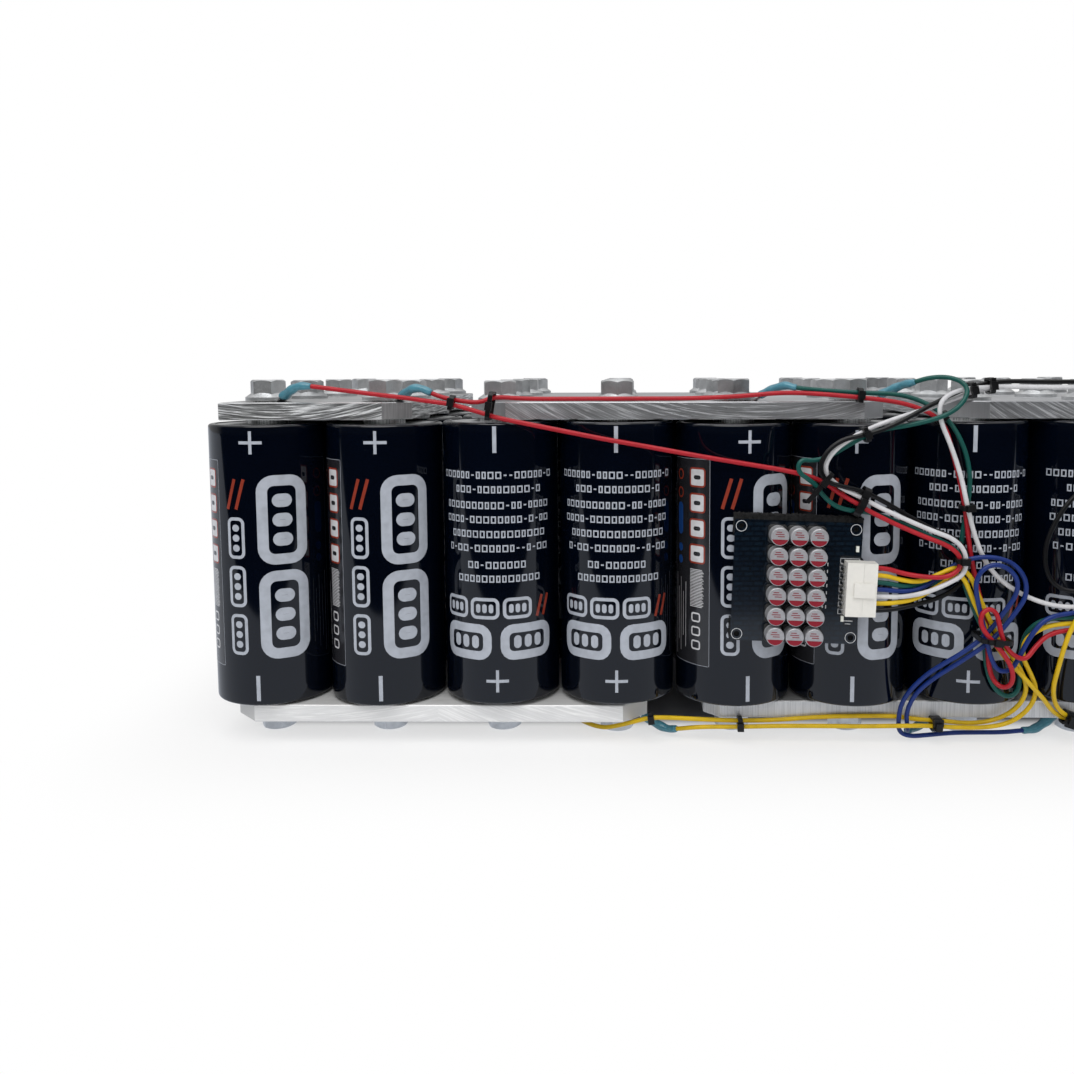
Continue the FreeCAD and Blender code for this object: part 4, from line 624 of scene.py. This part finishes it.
def dressFilm():
    # near-black glossy film, a little uneven, with specks of dust that dull it
    place = filmFinish.place()
    cloud = filmFinish.noise(place, 18, 3)
    tint = filmFinish.mix(cloud, (0.0003, 0.001, 0.0035), (0.0008, 0.0024, 0.0072))
    specks = filmFinish.step(filmFinish.noise(place, 900, 2), 0.72, 0.8)
    filmFinish.put(baseColor=filmFinish.mix(specks * 0.15, tint, (0.1, 0.1, 0.11)))
    filmFinish.put(roughness=filmFinish.noise(place, 60, 3) * 0.05 + 0.05)
    filmFinish.bump(filmFinish.noise(filmFinish.place((1, 1, 0.25)), 45, 2), 0.05, 0.001)


makeSleeves()
dressFilm()
print("sleeves made")

# Printed marks: plain rounded strokes on every sleeve, flat shapes in millimetres that are
# bent round the cell. u runs round the cell from the plus sign, v up from the minus end.

printing = {
    "lift": 0.00006, "stepLong": 2.0, "stepAcross": 1.6, "foot": 0.00045, "otherSide": 105.08,
    "silver": (0.42, 0.45, 0.51), "pale": (0.62, 0.62, 0.64), "rust": (0.26, 0.035, 0.018),
    "grey": (0.016, 0.016, 0.019), "blue": (0.012, 0.06, 0.24),
}


def ribbon(path, width, closed=False, across=None):
    # edges at equal distances on both sides of a path, mitred at its corners
    ahead = np.roll(path, -1, axis=0) - path
    if not closed:
        ahead[-1] = ahead[-2]
    ahead = ahead / np.linalg.norm(ahead, axis=1, keepdims=True)
    behind = np.roll(ahead, 1, axis=0)
    if not closed:
        behind[0] = ahead[0]
    normal = (ahead + behind)[:, ::-1] * (1, -1)
    normal = normal * 2 / (normal ** 2).sum(axis=1, keepdims=True)
    across = across or max(1, math.ceil(width / printing["stepAcross"]))
    offsets = np.linspace(-width / 2, width / 2, across + 1)
    points = path[:, None] + offsets[None, :, None] * normal[:, None]
    return points, gridQuads(len(path), across + 1, wrapRows=closed)


def bar(left, low, right, high):
    # a filled rectangle, cut up along u so that it can bend
    across = np.linspace(left, right, max(2, math.ceil((right - left) / printing["stepLong"]) + 1))
    u, v = np.meshgrid(across, [low, high])
    return np.stack([u, v], axis=2), gridQuads(2, len(across))


def ring(left, low, right, high, corner, stroke):
    # a rounded rectangle's outline: quarter circles joined by straight edges, stroke inside
    left, low, right, high = left + stroke / 2, low + stroke / 2, right - stroke / 2, high - stroke / 2
    radius = max(corner - stroke / 2, 0)
    if radius < 0.3:
        path = np.array([(left, low), (right, low), (right, high), (left, high)], float)
        return ribbon(path, stroke, closed=True, across=1)
    steps = max(5, math.ceil(radius * math.pi / 2 / printing["stepLong"]) + 1)
    centres = ((right - radius, high - radius), (left + radius, high - radius),
               (left + radius, low + radius), (right - radius, low + radius))
    arcs = []
    for quarter, (x, y) in enumerate(centres):
        sweep = np.radians(np.linspace(0, 90, steps) + 90 * quarter)
        arcs.append(np.stack([x + radius * np.cos(sweep), y + radius * np.sin(sweep)], axis=1))
    path = []
    for arc, following in zip(arcs, arcs[1:] + arcs[:1]):
        gap = following[0] - arc[-1]
        pieces = max(1, math.ceil(abs(gap[0]) / printing["stepLong"]))
        path.append(arc)
        path.append(arc[-1] + gap * np.arange(1, pieces)[:, None] / pieces)
    path = np.concatenate(path)
    return ribbon(path[np.linalg.norm(path - np.roll(path, 1, axis=0), axis=1) > 0.01], stroke, closed=True)


def slant(u, low, high, lean, stroke):
    # a leaning stroke: a straight path in short steps
    return ribbon(np.linspace((u, low), (u + lean, high), 9), stroke)


def pill(left, low, right, high):
    # a filled bar with round ends: an outline as thick as half its width
    half = min(right - left, high - low) / 2
    return ring(left, low, right, high, half, half * 0.99)


def plusSign(u, v, size, stroke):
    # a level bar, and a half bar above and below it that don't overlap it
    half, thin = size / 2, stroke / 2
    return [bar(u - half, v - thin, u + half, v + thin), bar(u - thin, v + thin, u + thin, v + half),
            bar(u - thin, v - half, u + thin, v - thin)]


def blockRow(v, halfWidth, tall, seed):
    # a row of small outlined blocks and short dashes, of mixed widths
    rng = np.random.default_rng(seed)
    shapes, u = [], -halfWidth
    while u < halfWidth - 1.5:
        wide = rng.choice([2.4, 2.9, 3.3])
        if rng.random() < 0.17:
            shapes.append(bar(u + 0.3, v - 0.4, u + 1.9, v + 0.4))
            u += 3.2
        else:
            shapes.append(ring(u, v - tall / 2, u + wide, v + tall / 2, 0.2, 0.75))
            u += wide + 1
    return shapes


def levels(left, low, right, high, corner, stroke, share):
    # a charge picture: a rounded frame with three pills across its long side
    wide, tall = right - left - 2 * stroke, high - low - 2 * stroke
    apart, thick = 0.285, 0.098  # shares of the long side
    shapes = [ring(left, low, right, high, corner, stroke)]
    for third in (-1, 0, 1):
        u, v = (left + right) / 2, (low + high) / 2
        if tall > wide:
            v, halfU, halfV = v + third * tall * apart, wide * share / 2, tall * thick
        else:
            u, halfU, halfV = u + third * wide * apart, wide * thick, tall * share / 2
        shapes.append(pill(u - halfU, v - halfV, u + halfU, v + halfV))
    return shapes


def bigPanel():
    # the plus and minus signs, two tall charge pictures and a narrow column of three small ones
    silver = plusSign(0, 149.3, 12.8, 1.7) + [bar(-1.1, 2.5, 1.1, 17.2)]
    for low in (80.5, 26.5):
        silver += levels(2.3, low, 29.8, low + 50.5, 9.5, 6, 0.7)
    for low in (84, 56.5, 29):
        silver += levels(-15.6, low, -4.8, low + 23.5, 3.6, 1.8, 0.6)
    rust = [slant(-15, 112, 129, 5, 1.9), slant(-9.5, 112, 129, 5, 1.9)]
    return {"silver": silver, "rust": rust}


def rowPanel():
    # signs again, eight rows of blocks, a row of small charge pictures and a row of two wide ones
    silver = plusSign(0, 145.5, 12.8, 1.7) + [bar(-1.1, 1.5, 1.1, 16.2)]
    rows = ((28.7, 36), (36.7, 27), (45.6, 33), (53.6, 33), (61.8, 30), (69.8, 32), (79.2, 17), (87, 26))
    for number, (v, halfWidth) in enumerate(rows):
        silver += blockRow(v, halfWidth, 4, number)
    for left in (-20.5, -1.6, 17.3):
        silver += levels(left, 97.8, left + 17, 110, 3.6, 1.9, 0.6)
    for left, right in ((-34, -2), (3, 35)):
        silver += levels(left, 113, right, 133.5, 7.5, 5, 0.7)
    rust = [slant(-32, 98, 110, 3.6, 1.9), slant(-27.5, 98, 110, 3.6, 1.9)]
    return {"silver": silver, "rust": rust}


def infoStrip():
    # a slightly lighter strip left of the big panel: outlined squares, thin lines and small dots
    shapes = {"grey": [bar(-52.5, 21, -22, 139.5)], "silver": [ring(-52.3, 21.2, -22.2, 139.3, 1, 0.2)],
              "pale": [], "rust": [], "blue": []}
    for low in (123, 108.5, 94, 79.5):
        shapes["pale"].append(bar(-35.6, low + 0.8, -25.6, low + 10.8))
        shapes["rust"].append(ring(-36.2, low + 0.2, -25, low + 11.4, 2, 1))
        shapes["grey"].append(pill(-33, low + 4.6, -28.2, low + 7))
    for low in (126.5, 116):
        shapes["rust"].append(ring(-48.5, low, -42, low + 6.5, 3.25, 1))
    for low in (85, 78):
        shapes["blue"].append(pill(-47.6, low, -42.8, low + 4.8))
    shapes["blue"].append(pill(-48.3, 95, -42.6, 113.5))
    for line in range(26):
        shapes["pale"].append(bar(-35.6, 76 - line * 0.85, -27 + line * 7 % 5 * 0.3, 76.4 - line * 0.85))
    for column in range(5):
        u = -50 + column * 2.6
        shapes["pale"].append(bar(u, 24 + column * 3 % 5 * 3, u + 0.3, 72 - column * 4 % 7 * 2))
    for low in (46, 38, 30):
        shapes["pale"].append(ring(-34.5, low, -28, low + 5.5, 1.6, 0.9))
    return shapes


def bent(shapes, column, row, offset, lift):
    # flat shapes onto a cell: u / radius is the angle round it, upside down where the minus is up
    flat, faces = joined(shapes)
    radius = pack["sleeveRadius"] + lift
    plus = plusUp(column)
    start = math.radians(cellTurn(column, row))
    turn = (flat[:, 0] + offset) * mm / pack["sleeveRadius"] * (1 if plus else -1) + start
    foot = pack["plusFoot"] if plus else pack["minusFoot"]
    height = flat[:, 1] * mm + printing["foot"]
    z = foot + (height if plus else pack["sleeveTall"] - height)
    x = columnAt(column) + radius * np.sin(turn)
    y = rowAt(row) - radius * np.cos(turn)
    return np.stack([x, y, z], axis=1), faces


def makeMarks():
    # one piece for each ink and pair of columns, each ink at its own lift off the film
    other = printing["otherSide"]
    big, rows, strip = bigPanel(), rowPanel(), infoStrip()
    lifts = {"grey": 0.5, "silver": 1, "pale": 1.2, "blue": 1.2, "rust": 1.6}
    finishes = {}
    for name in lifts:
        ink = Finish("ink_" + name, roughness=0.2, coatWeight=0.2, coatRoughness=0.06)
        wear = ink.step(ink.noise(ink.place(), 220, 4), 0.3, 0.8)
        ink.put(baseColor=ink.mix(wear, printing[name], tuple(part * 0.82 for part in printing[name])))
        finishes[name] = ink
    for group in range(pack["columns"] // 2):
        parts = {name: [] for name in finishes}
        for column, row in cellsOf(group):
            front = (0, -other) if plusUp(column) else (other, 0)  # minus-up cells show the rows
            for panel, offset in ((big, front[0]), (rows, front[1]), (strip, front[0])):
                for name, shapes in panel.items():
                    lift = printing["lift"] * lifts[name]
                    if name == "grey":  # the strip lies under the pale squares, their pills over them
                        parts[name].append(bent(shapes[:1], column, row, offset, lift))
                        shapes, lift = shapes[1:], printing["lift"] * max(lifts.values())
                    parts[name].append(bent(shapes, column, row, offset, lift))
        for name, pieces in parts.items():
            makePiece(f"marks_{name}_{group + 1}", *joined(pieces), finishes[name], "sleeve")


makeMarks()
print("marks printed")

# Balancer boards: capacitors, foam and white print are made here, the rest is dressed CAD.

board = {
    "places": (((-0.071, -0.13185, 0.09675), 2.1), ((0.204, -0.13185, 0.09675), 177.9)),
    "thick": 1.6, "columnStep": 10.6, "rowStep": 11, "shift": 1,
    "redShare": 0.33,
}


def onBoard(points, number):
    # board millimetres (across, out of the board negative, up) to the pack's metres
    (x, y, z), tilt = board["places"][number - 1]
    cos, sin = math.cos(math.radians(tilt)), math.sin(math.radians(tilt))
    across, out, up = points[..., 0] * mm, points[..., 1] * mm, points[..., 2] * mm
    return np.stack([x + across * cos + up * sin, y + out, z - across * sin + up * cos], axis=-1)


def capacitorSpots():
    # six rows of three, as across and up from the board's middle in millimetres
    for row in range(6):
        for column in range(3):
            yield ((column - 1) * board["columnStep"] - board["shift"],
                   (2.5 - row) * board["rowStep"] - board["shift"])


def capacitorShape():
    # a can turned about its axis: (radius, height) down its rim, crimp and skirt
    profile = np.array([(0, 10.12), (3.6, 10.12), (4.35, 10.15), (4.75, 10.02), (4.95, 9.75), (5, 9.3),
                        (5, 5.4), (5, 3.6), (4.85, 3.2), (4.62, 2.9), (4.62, 2.6), (4.85, 2.3),
                        (5, 2), (5, 1.5), (0, 1.5)])
    count = 28
    around = circle(count)
    across = profile[:, :1] * np.cos(around)
    up = profile[:, :1] * np.sin(around)
    out = -np.repeat(profile[:, 1:], count, axis=1) - board["thick"]
    faces = gridQuads(len(profile), count, wrapColumns=True)
    return np.stack([across, out, up], axis=2), faces[:, ::-1]


def footShape():
    # the black square base: an octagonal outline carried up in steps and closed over
    half, cut = 5.15, 1.2
    outline = np.array([(half, -half + cut), (half, half - cut), (half - cut, half), (-half + cut, half),
                        (-half, half - cut), (-half, -half + cut), (-half + cut, -half), (half - cut, -half)])
    scales = np.array([0, 1, 1, 0.96, 0.7, 0])
    heights = np.array([0, 0, 1.35, 1.6, 1.6, 1.6])
    points = outline[None] * scales[:, None, None]
    out = np.repeat(-heights[:, None] - board["thick"], len(outline), axis=1)
    stacked = np.stack([points[..., 0], out, points[..., 1]], axis=2)
    return stacked, gridQuads(len(scales), len(outline), wrapColumns=True)


def stampShape():
    # three short lines stamped on a can's silver part, each a strip of the grid
    left = np.array((-2.1, -2.6, -1.4))
    right = np.array((0.9, 2.2, 2.4))
    up = np.array((2.5, 1.3, 0.1))
    across = np.stack([left, right], axis=1)[:, None, :].repeat(2, axis=1).reshape(6, 2)
    level = (up[:, None] + np.array((-0.22, 0.22))).reshape(6, 1) * np.ones(2)
    out = np.full(across.shape, -10.19 - board["thick"])
    faces = gridQuads(6, 2)[::2]
    return np.stack([across, out, level], axis=2), faces


def redShape():
    # the coloured part of a can's top: a circle's segment from a chord to the rim
    rows, columns = 7, 13
    radius, chord = 4.55, -4.55 + 2 * 4.55 * board["redShare"]
    up = np.linspace(-radius + 0.02, chord, rows)[:, None] * np.ones(columns)
    across = np.sqrt(radius ** 2 - up ** 2) * np.linspace(-1, 1, columns)
    out = np.full(up.shape, -10.2 - board["thick"])
    return np.stack([across, out, up], axis=2), gridQuads(rows, columns)


canFinish = Finish("capacitorCan", metallic=0.6)
canFoot = Finish("capacitorFoot", roughness=0.5)
redFinish = Finish("capacitorRed", roughness=0.5, specularIORLevel=0.3)
foamFinish = Finish("foamTape", roughness=0.95)
printFinish = Finish("boardPrint", roughness=0.55)


def makeCapacitors():
    # each shape is repeated over a board's spots; the cans stand for the CAD capacitors
    for number in (1, 2):
        for title, (points, faces), finish in (
                ("cans", capacitorShape(), canFinish), ("feet", footShape(), canFoot),
                ("stamps", stampShape(), redFinish), ("tops", redShape(), redFinish)):
            parts = [(onBoard(points + np.array((across, 0, up)), number), faces)
                     for across, up in capacitorSpots()]
            piece = makePiece(f"capacitor_{title}_{number}", *joined(parts), finish, "capacitor",
                              weld=title in ("cans", "feet"))
            if title == "cans":
                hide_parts(f"board_capacitors_{number}")


foam = {  # millimetres on the board; rear, front and clear are metres in the pack
    "section": 44, "along": 120, "half": 35, "middle": 3.45, "halfThick": 3.4, "halfTall": 5.9,
    "strips": ((1, (30.75, -27.75), (4, 5)), (2, (-30.75, 27.75), (8, 9))),  # board, heights, columns
    "fuzz": (0.2, 0.22), "rear": -0.13185, "front": -0.1249, "clear": 0.0001,
}


def makeFoam():
    # a strip's section goes round a rounded rectangle; its back is pressed in round the cells
    rng = np.random.default_rng(5)
    section, along, half = foam["section"], foam["along"], foam["half"]
    angle = np.linspace(0, 2 * math.pi, section, endpoint=False)
    boxy = np.stack([np.cos(angle), np.sin(angle)], axis=1)
    boxy = np.sign(boxy) * np.abs(boxy) ** 0.22
    ends = np.concatenate([[0, 0.5, 0.85], np.ones(along - 6), [0.85, 0.5, 0]])
    x = np.concatenate([[-half] * 3, np.linspace(-half, half, along - 6), [half] * 3])
    x[2], x[-3] = 0.03 - half, half - 0.03
    reach = pack["sleeveRadius"] + foam["clear"]
    for number, heights, columns in foam["strips"]:
        parts = []
        for height in heights:
            out = foam["middle"] + foam["halfThick"] * ends[:, None] * boxy[None, :, 0]
            up = height + foam["halfTall"] * ends[:, None] * boxy[None, :, 1]
            fuzz = rng.normal(0, foam["fuzz"][0], (along, section, 3))
            fuzz = fuzz + rng.normal(0, foam["fuzz"][1], (along, 1, 3))
            fuzz[[0, -1]] = 0
            points = np.stack([np.repeat(x[:, None], section, axis=1), out, up], axis=2) + fuzz
            placed = onBoard(points, number)
            limit = np.full(placed.shape[:2], foam["front"])
            for column in columns:
                away = np.abs(placed[..., 0] - columnAt(column))
                front = rowAt(0) - np.sqrt(np.maximum(reach ** 2 - away ** 2, 0))
                limit = np.where(away < reach, np.minimum(limit, front), limit)
            placed[..., 1] = np.clip(placed[..., 1], foam["rear"] + 0.00002, limit)
            parts.append((placed, gridQuads(along, section, wrapColumns=True)))
        piece = makePiece(f"foam_{number}", *joined(parts), foamFinish, "pad", weld=True)
        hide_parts(f"mounting_pads_{number}")


def makeBoardPrint():
    # thin white outlines and ticks on the front of each board
    shapes = []
    for across in (-31.4, 31.4):
        for up in (-30.15, 30.15):
            shapes.append(ring(across - 3.1, up - 3.1, across + 3.1, up + 3.1, 3.1, 0.3))
    for up in np.arange(7) * 3.96 - 11.88 - 1.4:
        shapes += [bar(16.6, up - 0.9, 17.1, up + 0.9), bar(14.2, up - 0.6, 15.4, up + 0.6)]
    shapes += [ring(23.6, -17, 34.2, 14.2, 0, 0.25), bar(27, -21, 32, -20.5), bar(28, -22.6, 31, -22.2)]
    flat, faces = joined(shapes)
    points = np.stack([flat[:, 0], np.full(len(flat), -board["thick"] - 0.03), flat[:, 1]], axis=1)
    for number in (1, 2):
        makePiece(f"board_print_{number}", onBoard(points, number), faces, printFinish, "board", smooth=False)


def dressBoardPieces():
    # two tones by noise for each, and pores in the foam
    canFinish.paint(700, (0.42, 0.42, 0.44), (0.62, 0.62, 0.64))
    canFinish.put(roughness=canFinish.noise(canFinish.place(), 300) * 0.2 + 0.38)
    canFoot.paint(900, (0.012, 0.012, 0.013), (0.03, 0.03, 0.03))
    redFinish.paint(1100, (0.2, 0.004, 0.014), (0.28, 0.01, 0.026))
    printFinish.paint(1500, (0.45, 0.46, 0.48), (0.7, 0.7, 0.7))
    cells = foamFinish.noise(foamFinish.place(), 2200, 4, 0.7)
    foamFinish.put(baseColor=foamFinish.mix(cells, (0.002, 0.002, 0.002), (0.02, 0.02, 0.021)))
    foamFinish.bump(cells, 0.8, 0.0006)


makeCapacitors()
makeFoam()
makeBoardPrint()
dressBoardPieces()
print("boards finished")

# Metal: cell cans, sawn bars, plated bolts, tinned terminals.


sawing = {  # a saw's centre above each stretch of a bar; how far its marks are drawn out; their scale
    "every": 0.272, "back": 0.18, "above": 0.39, "stretch": 0.035, "scale": 1350,
}


def aluminium(name, tone, rough, sawn, contrast=0.5, metallic=1.0, cornerPaintedShade=0.05, glow=0.5,
              grain=(0.1, 1, 1)):
    # mill finish with stray scratches; sawn sides: noise over the distance to a saw's centre
    # above each bar, stretched along the cut, and fine upright grain on the corners' cuts;
    # painted glints on the saw's deepest marks, painted shade on the upward faces and chamfered corners
    metal = Finish(name)
    place = metal.place()
    x, y, z = metal.axes(place)
    sideX, _, sideZ = metal.axes(metal.node("ShaderNodeTexCoord", out=1))
    side = 1 - metal.step(sideZ * sideZ, 0.2, 0.6)
    corner = metal.step(sideX * sideX, 0.2, 0.35) * (1 - metal.step(sideX * sideX, 0.75, 0.9))
    along = metal.maths("WRAP", x, sawing["every"], 0.0) - sawing["back"]
    above = z - sawing["above"]
    reach = (along * along + above * above) ** 0.5
    drawn = {0: reach, 1: x * sawing["stretch"], 2: y * sawing["stretch"]}
    saw = metal.noise(metal.node("ShaderNodeCombineXYZ", None, drawn), sawing["scale"], 4, 0.6)
    upright = metal.noise(metal.place((1, 1, 0.04)), 1400, 2)
    face = saw * (1 - corner) + (upright * 0.1 + 0.46) * corner
    face = face * sawn + upright * (1 - sawn)
    mill = metal.noise(metal.place(grain), 600, 3, 0.55)
    shine = metal.step(face, 0.37, 0.6)
    scratches = metal.step(metal.noise(metal.place((1, 1, 14), (0.3, 0.7, 0.4)), 90, 2, 0.3), 0.64, 0.7)
    patches = metal.noise(place, 22, 3)
    paintedGlint = metal.step(saw, 0.56, 0.61) * sawn * (1 - corner)  # painted highlight: the saw's deepest marks are painted as bright glints
    sawnToneAndPaintedGlint = shine * contrast + patches * 0.4 + (0.9 - contrast) / 2 - 0.1 + paintedGlint * contrast
    # painted shade: the upward faces get a darker tone than the sides, over their mill grain
    shade = side * sawnToneAndPaintedGlint + (1 - side) * (mill * 0.8 + patches * 0.5 - 0.25)
    # painted shade: the chamfered corner faces are darkened
    shade = shade - side * corner * cornerPaintedShade
    light = tuple(min(part * 1.45, 0.98) for part in tone)
    dark = tuple(part * (0.75 - contrast * 0.6) for part in tone)
    # painted highlight: the glints are made less metallic so that they show brighter
    metal.put(metallic=paintedGlint * side * -glow + metallic, baseColor=metal.mix(shade, dark, light),
              roughness=(patches - 0.5) * 0.2 + rough - scratches * 0.1)
    return metal.bump(face * side + mill * (1 - side) * 0.3 + scratches * 0.25, 0.5, 0.0002)


def dressMetal():
    # sawn upper bars with painted glints, a ground front lower bar painted lighter as the light it reflects,
    # plain rear ones; bolts and terminals by noise
    dress(aluminium("sawnTopBar", (0.66, 0.67, 0.69), 0.4, 1.0, 0.9, 0.8), "top_bar_1")
    dress(aluminium("sawnLongBar", (0.6, 0.61, 0.63), 0.4, 1.0, 0.4, 0.85, glow=0.2),
          "top_bar_2", "top_bar_3", "top_bar_4")
    # painted light: the front lower bar is lighter and less metallic than the rear ones, for the light its
    # front reflects
    dress(aluminium("groundFrontBarPaintedLight", (0.9, 0.895, 0.88), 0.45, 1.0, 0.15, 0.25, 0.6), "bottom_bar_1")
    dress(aluminium("grainedLowBar", (0.72, 0.72, 0.72), 0.5, 0.0, 0.22, 0.7),
          "bottom_bar_2", "bottom_bar_3")
    dress(aluminium("cellCan", (0.66, 0.67, 0.68), 0.34, 0.0, grain=(2, 2, 2)), "cells_")
    zinc = Finish("zincBolt", metallic=0.8)
    place = zinc.place()
    grain = zinc.noise(place, 260, 4, 0.6)
    smudge = zinc.step(zinc.noise(place, 70, 3), 0.4, 0.7)
    dull = zinc.step(zinc.noise(place, 19, 2), 0.45, 0.65)
    soiled = grain * 0.5 + smudge * 0.3 + dull * 0.4
    zinc.put(baseColor=zinc.mix(soiled, (0.8, 0.81, 0.82), (0.3, 0.31, 0.32)), roughness=smudge * 0.12 + 0.3)
    zinc.bump(zinc.noise(place, 900, 4, 0.7) + grain, 0.6, 0.0004)
    dress(zinc, "top_bolts_", "bottom_bolts_")
    tin = Finish("tinnedCopper", metallic=1.0)
    wash = tin.noise(tin.place(), 420, 3)
    tin.put(baseColor=tin.mix(wash, (0.78, 0.77, 0.75), (0.55, 0.55, 0.55)), roughness=wash * 0.2 + 0.18)
    tin.bump(wash, 0.3, 0.0001)
    dress(tin, "ring_terminals_", "header_pins_")


def dressPlastic():
    # two tones by noise and a fine relief; the board's tracks are a brick pattern
    mask = Finish("solderMask", roughness=0.22, coatWeight=0.4, coatRoughness=0.1)
    tracks = mask.node("ShaderNodeTexBrick", {"offset": 0.35}, {
        "Vector": mask.place(turn=(math.pi / 2, 0, 0)), "Color1": (0.001, 0.006, 0.014),
        "Color2": (0.0025, 0.011, 0.022), "Mortar": (0.0006, 0.0025, 0.006),
        "Scale": 90, "Mortar Size": 0.05})
    mask.put(baseColor=mask.mix(mask.noise(mask.place(), 300) * 0.5, tracks, (0.001, 0.005, 0.012)))
    mask.relief(800, 3, 0.1, 0.0001)
    dress(mask, "balancer_board_")
    nylon = Finish("whiteNylon", roughness=0.42)
    nylon.paint(250, (0.83, 0.81, 0.76), (0.7, 0.69, 0.65)).relief(1800, 3, 0.1, 0.0001)
    dress(nylon, "board_header_", "wire_plug_")
    lamp = Finish("clearLamp", roughness=0.12, coatWeight=0.5)
    dress(lamp.paint(900, (0.85, 0.85, 0.78), (0.7, 0.72, 0.66)), "board_lamps_")
    tie = Finish("tieNylon", roughness=0.4, specularIORLevel=0.35)
    tie.paint(700, (0.003, 0.003, 0.004), (0.009, 0.009, 0.01)).relief(3000, 1, 0.2, 0.0001)
    dress(tie, "cable_ties_")


dressMetal()
dressPlastic()
print("CAD parts dressed")

# Studio: a white table that glossy pieces see dark beyond its near edge, a pale world, a soft lamp.

studio = {
    "floorHalf": 6.0, "floorPoints": 25, "floorLevel": -0.0002, "nearEdge": -0.43, "farGlossy": 0.012,
    "floorWhite": 0.9, "floorPaintedShadow": (0.26, 0.26, 0.28), "floorGlossy": (0.6, 0.64, 0.71),
    "shadowFrom": (0.39, 0.12), "shadowReach": 0.12, "shadowLight": 0.62, "underFrom": (0.37, 0.076),
    "world": 0.72, "roomDark": 0.03, "roomBright": 1.0, "horizon": 0.4,
    "lampPlace": (-0.3, -0.9, 1.5), "lampAim": (0, 0, 0.1), "lampSize": 1.6, "lampWatts": 14,
}


def makeFloor():
    # the camera sees a lit floor that turns to plain white away from the pack, its colour painted dark as
    # shadow right under the cells; glossy pieces mirror a bluish floor, dark beyond its near edge and painted
    # dark as shadow right under the cells
    half, count = studio["floorHalf"], studio["floorPoints"]
    x, y = np.meshgrid(np.linspace(-half, half, count), np.linspace(-half, half, count))
    points = np.stack([x, y, np.full(x.shape, studio["floorLevel"])], axis=2)
    mesh = bpy.data.meshes.new("table")
    mesh.from_pydata(points.reshape(-1, 3).tolist(), [], gridQuads(count, count).tolist())
    table = addObject("table", mesh)
    surface = Finish("tableTop", roughness=0.9)
    x, y, _ = surface.axes(surface.place())
    isCamera, isGlossy = surface.rays()
    near = surface.step(y, studio["nearEdge"] - 0.01, studio["nearEdge"] + 0.01)
    x, y = surface.maths("ABSOLUTE", x), surface.maths("ABSOLUTE", y)
    across = surface.maths("MAXIMUM", x - studio["shadowFrom"][0], 0.0)
    deep = surface.maths("MAXIMUM", y - studio["shadowFrom"][1], 0.0)
    inset = surface.maths("MAXIMUM", y - studio["underFrom"][1], x - studio["underFrom"][0])
    under = surface.step(inset, 0.0, 0.02)  # painted shadow: darker right under the cells
    dark = (studio["farGlossy"],) * 3
    # painted shadow: right under the cells both the mirrored glow and the floor's own colour are dark
    mirrored = surface.mix(near, dark, surface.mix(under, dark, studio["floorGlossy"]))
    surface.put(baseColor=surface.mix(under, studio["floorPaintedShadow"], (studio["floorWhite"],) * 3))
    far = surface.step((across * across + deep * deep) ** 0.5, 0.0, studio["shadowReach"])
    lit = far * (1 - studio["shadowLight"]) + studio["shadowLight"]
    plain = surface.node("ShaderNodeEmission", None, {"Color": (1.0, 1.0, 1.0)})
    glossy = surface.node("ShaderNodeEmission", None, {"Color": mirrored})
    shown = surface.node("ShaderNodeMixShader", None, {
        0: isCamera * under * lit, 1: Value(surface, surface.shader.outputs[0]), 2: plain})
    both = surface.node("ShaderNodeMixShader", None, {0: isGlossy, 1: shown, 2: glossy})
    surface.feed(surface.nodeTree.nodes["Material Output"].inputs[0], both)
    mesh.materials.append(surface.material)


def makeWorld():
    # the camera sees white, glossy pieces a dark room that is bright overhead and less so
    # behind the pack, everything else an even level
    world = bpy.data.worlds.new("paleRoom")
    bpy.context.scene.world = world
    world.use_nodes = True
    tree = Tree(world.node_tree)
    isCamera, isGlossy = tree.rays()
    _, y, z = tree.axes(tree.node("ShaderNodeTexCoord", out=0))
    overhead = tree.step(z, 0.45, 0.8)
    behind = tree.step(y, -0.25, 0.15) * studio["horizon"]
    bright = overhead + (1 - overhead) * behind
    room = bright * (studio["roomBright"] - studio["roomDark"]) + studio["roomDark"]
    level = isGlossy * room + (1 - isGlossy) * studio["world"]
    level = isCamera + (1 - isCamera) * level
    tree.feed(tree.nodeTree.nodes["Background"].inputs[1], level)
    tree.nodeTree.nodes["Background"].inputs[0].default_value = (1, 1, 1, 1)


def makeLamp():
    # a round lamp, turned from its place to its aim
    data = bpy.data.lights.new("softLamp", "AREA")
    data.shape = "DISK"
    data.size = studio["lampSize"]
    data.energy = studio["lampWatts"]
    lamp = addObject("softLamp", data)
    lamp.location = studio["lampPlace"]
    aim = Vector(studio["lampAim"]) - Vector(studio["lampPlace"])
    lamp.rotation_euler = aim.to_track_quat("-Z", "Y").to_euler()


makeFloor()
makeWorld()
makeLamp()
bpy.context.scene.view_settings.view_transform = "Standard"
print("studio lit")
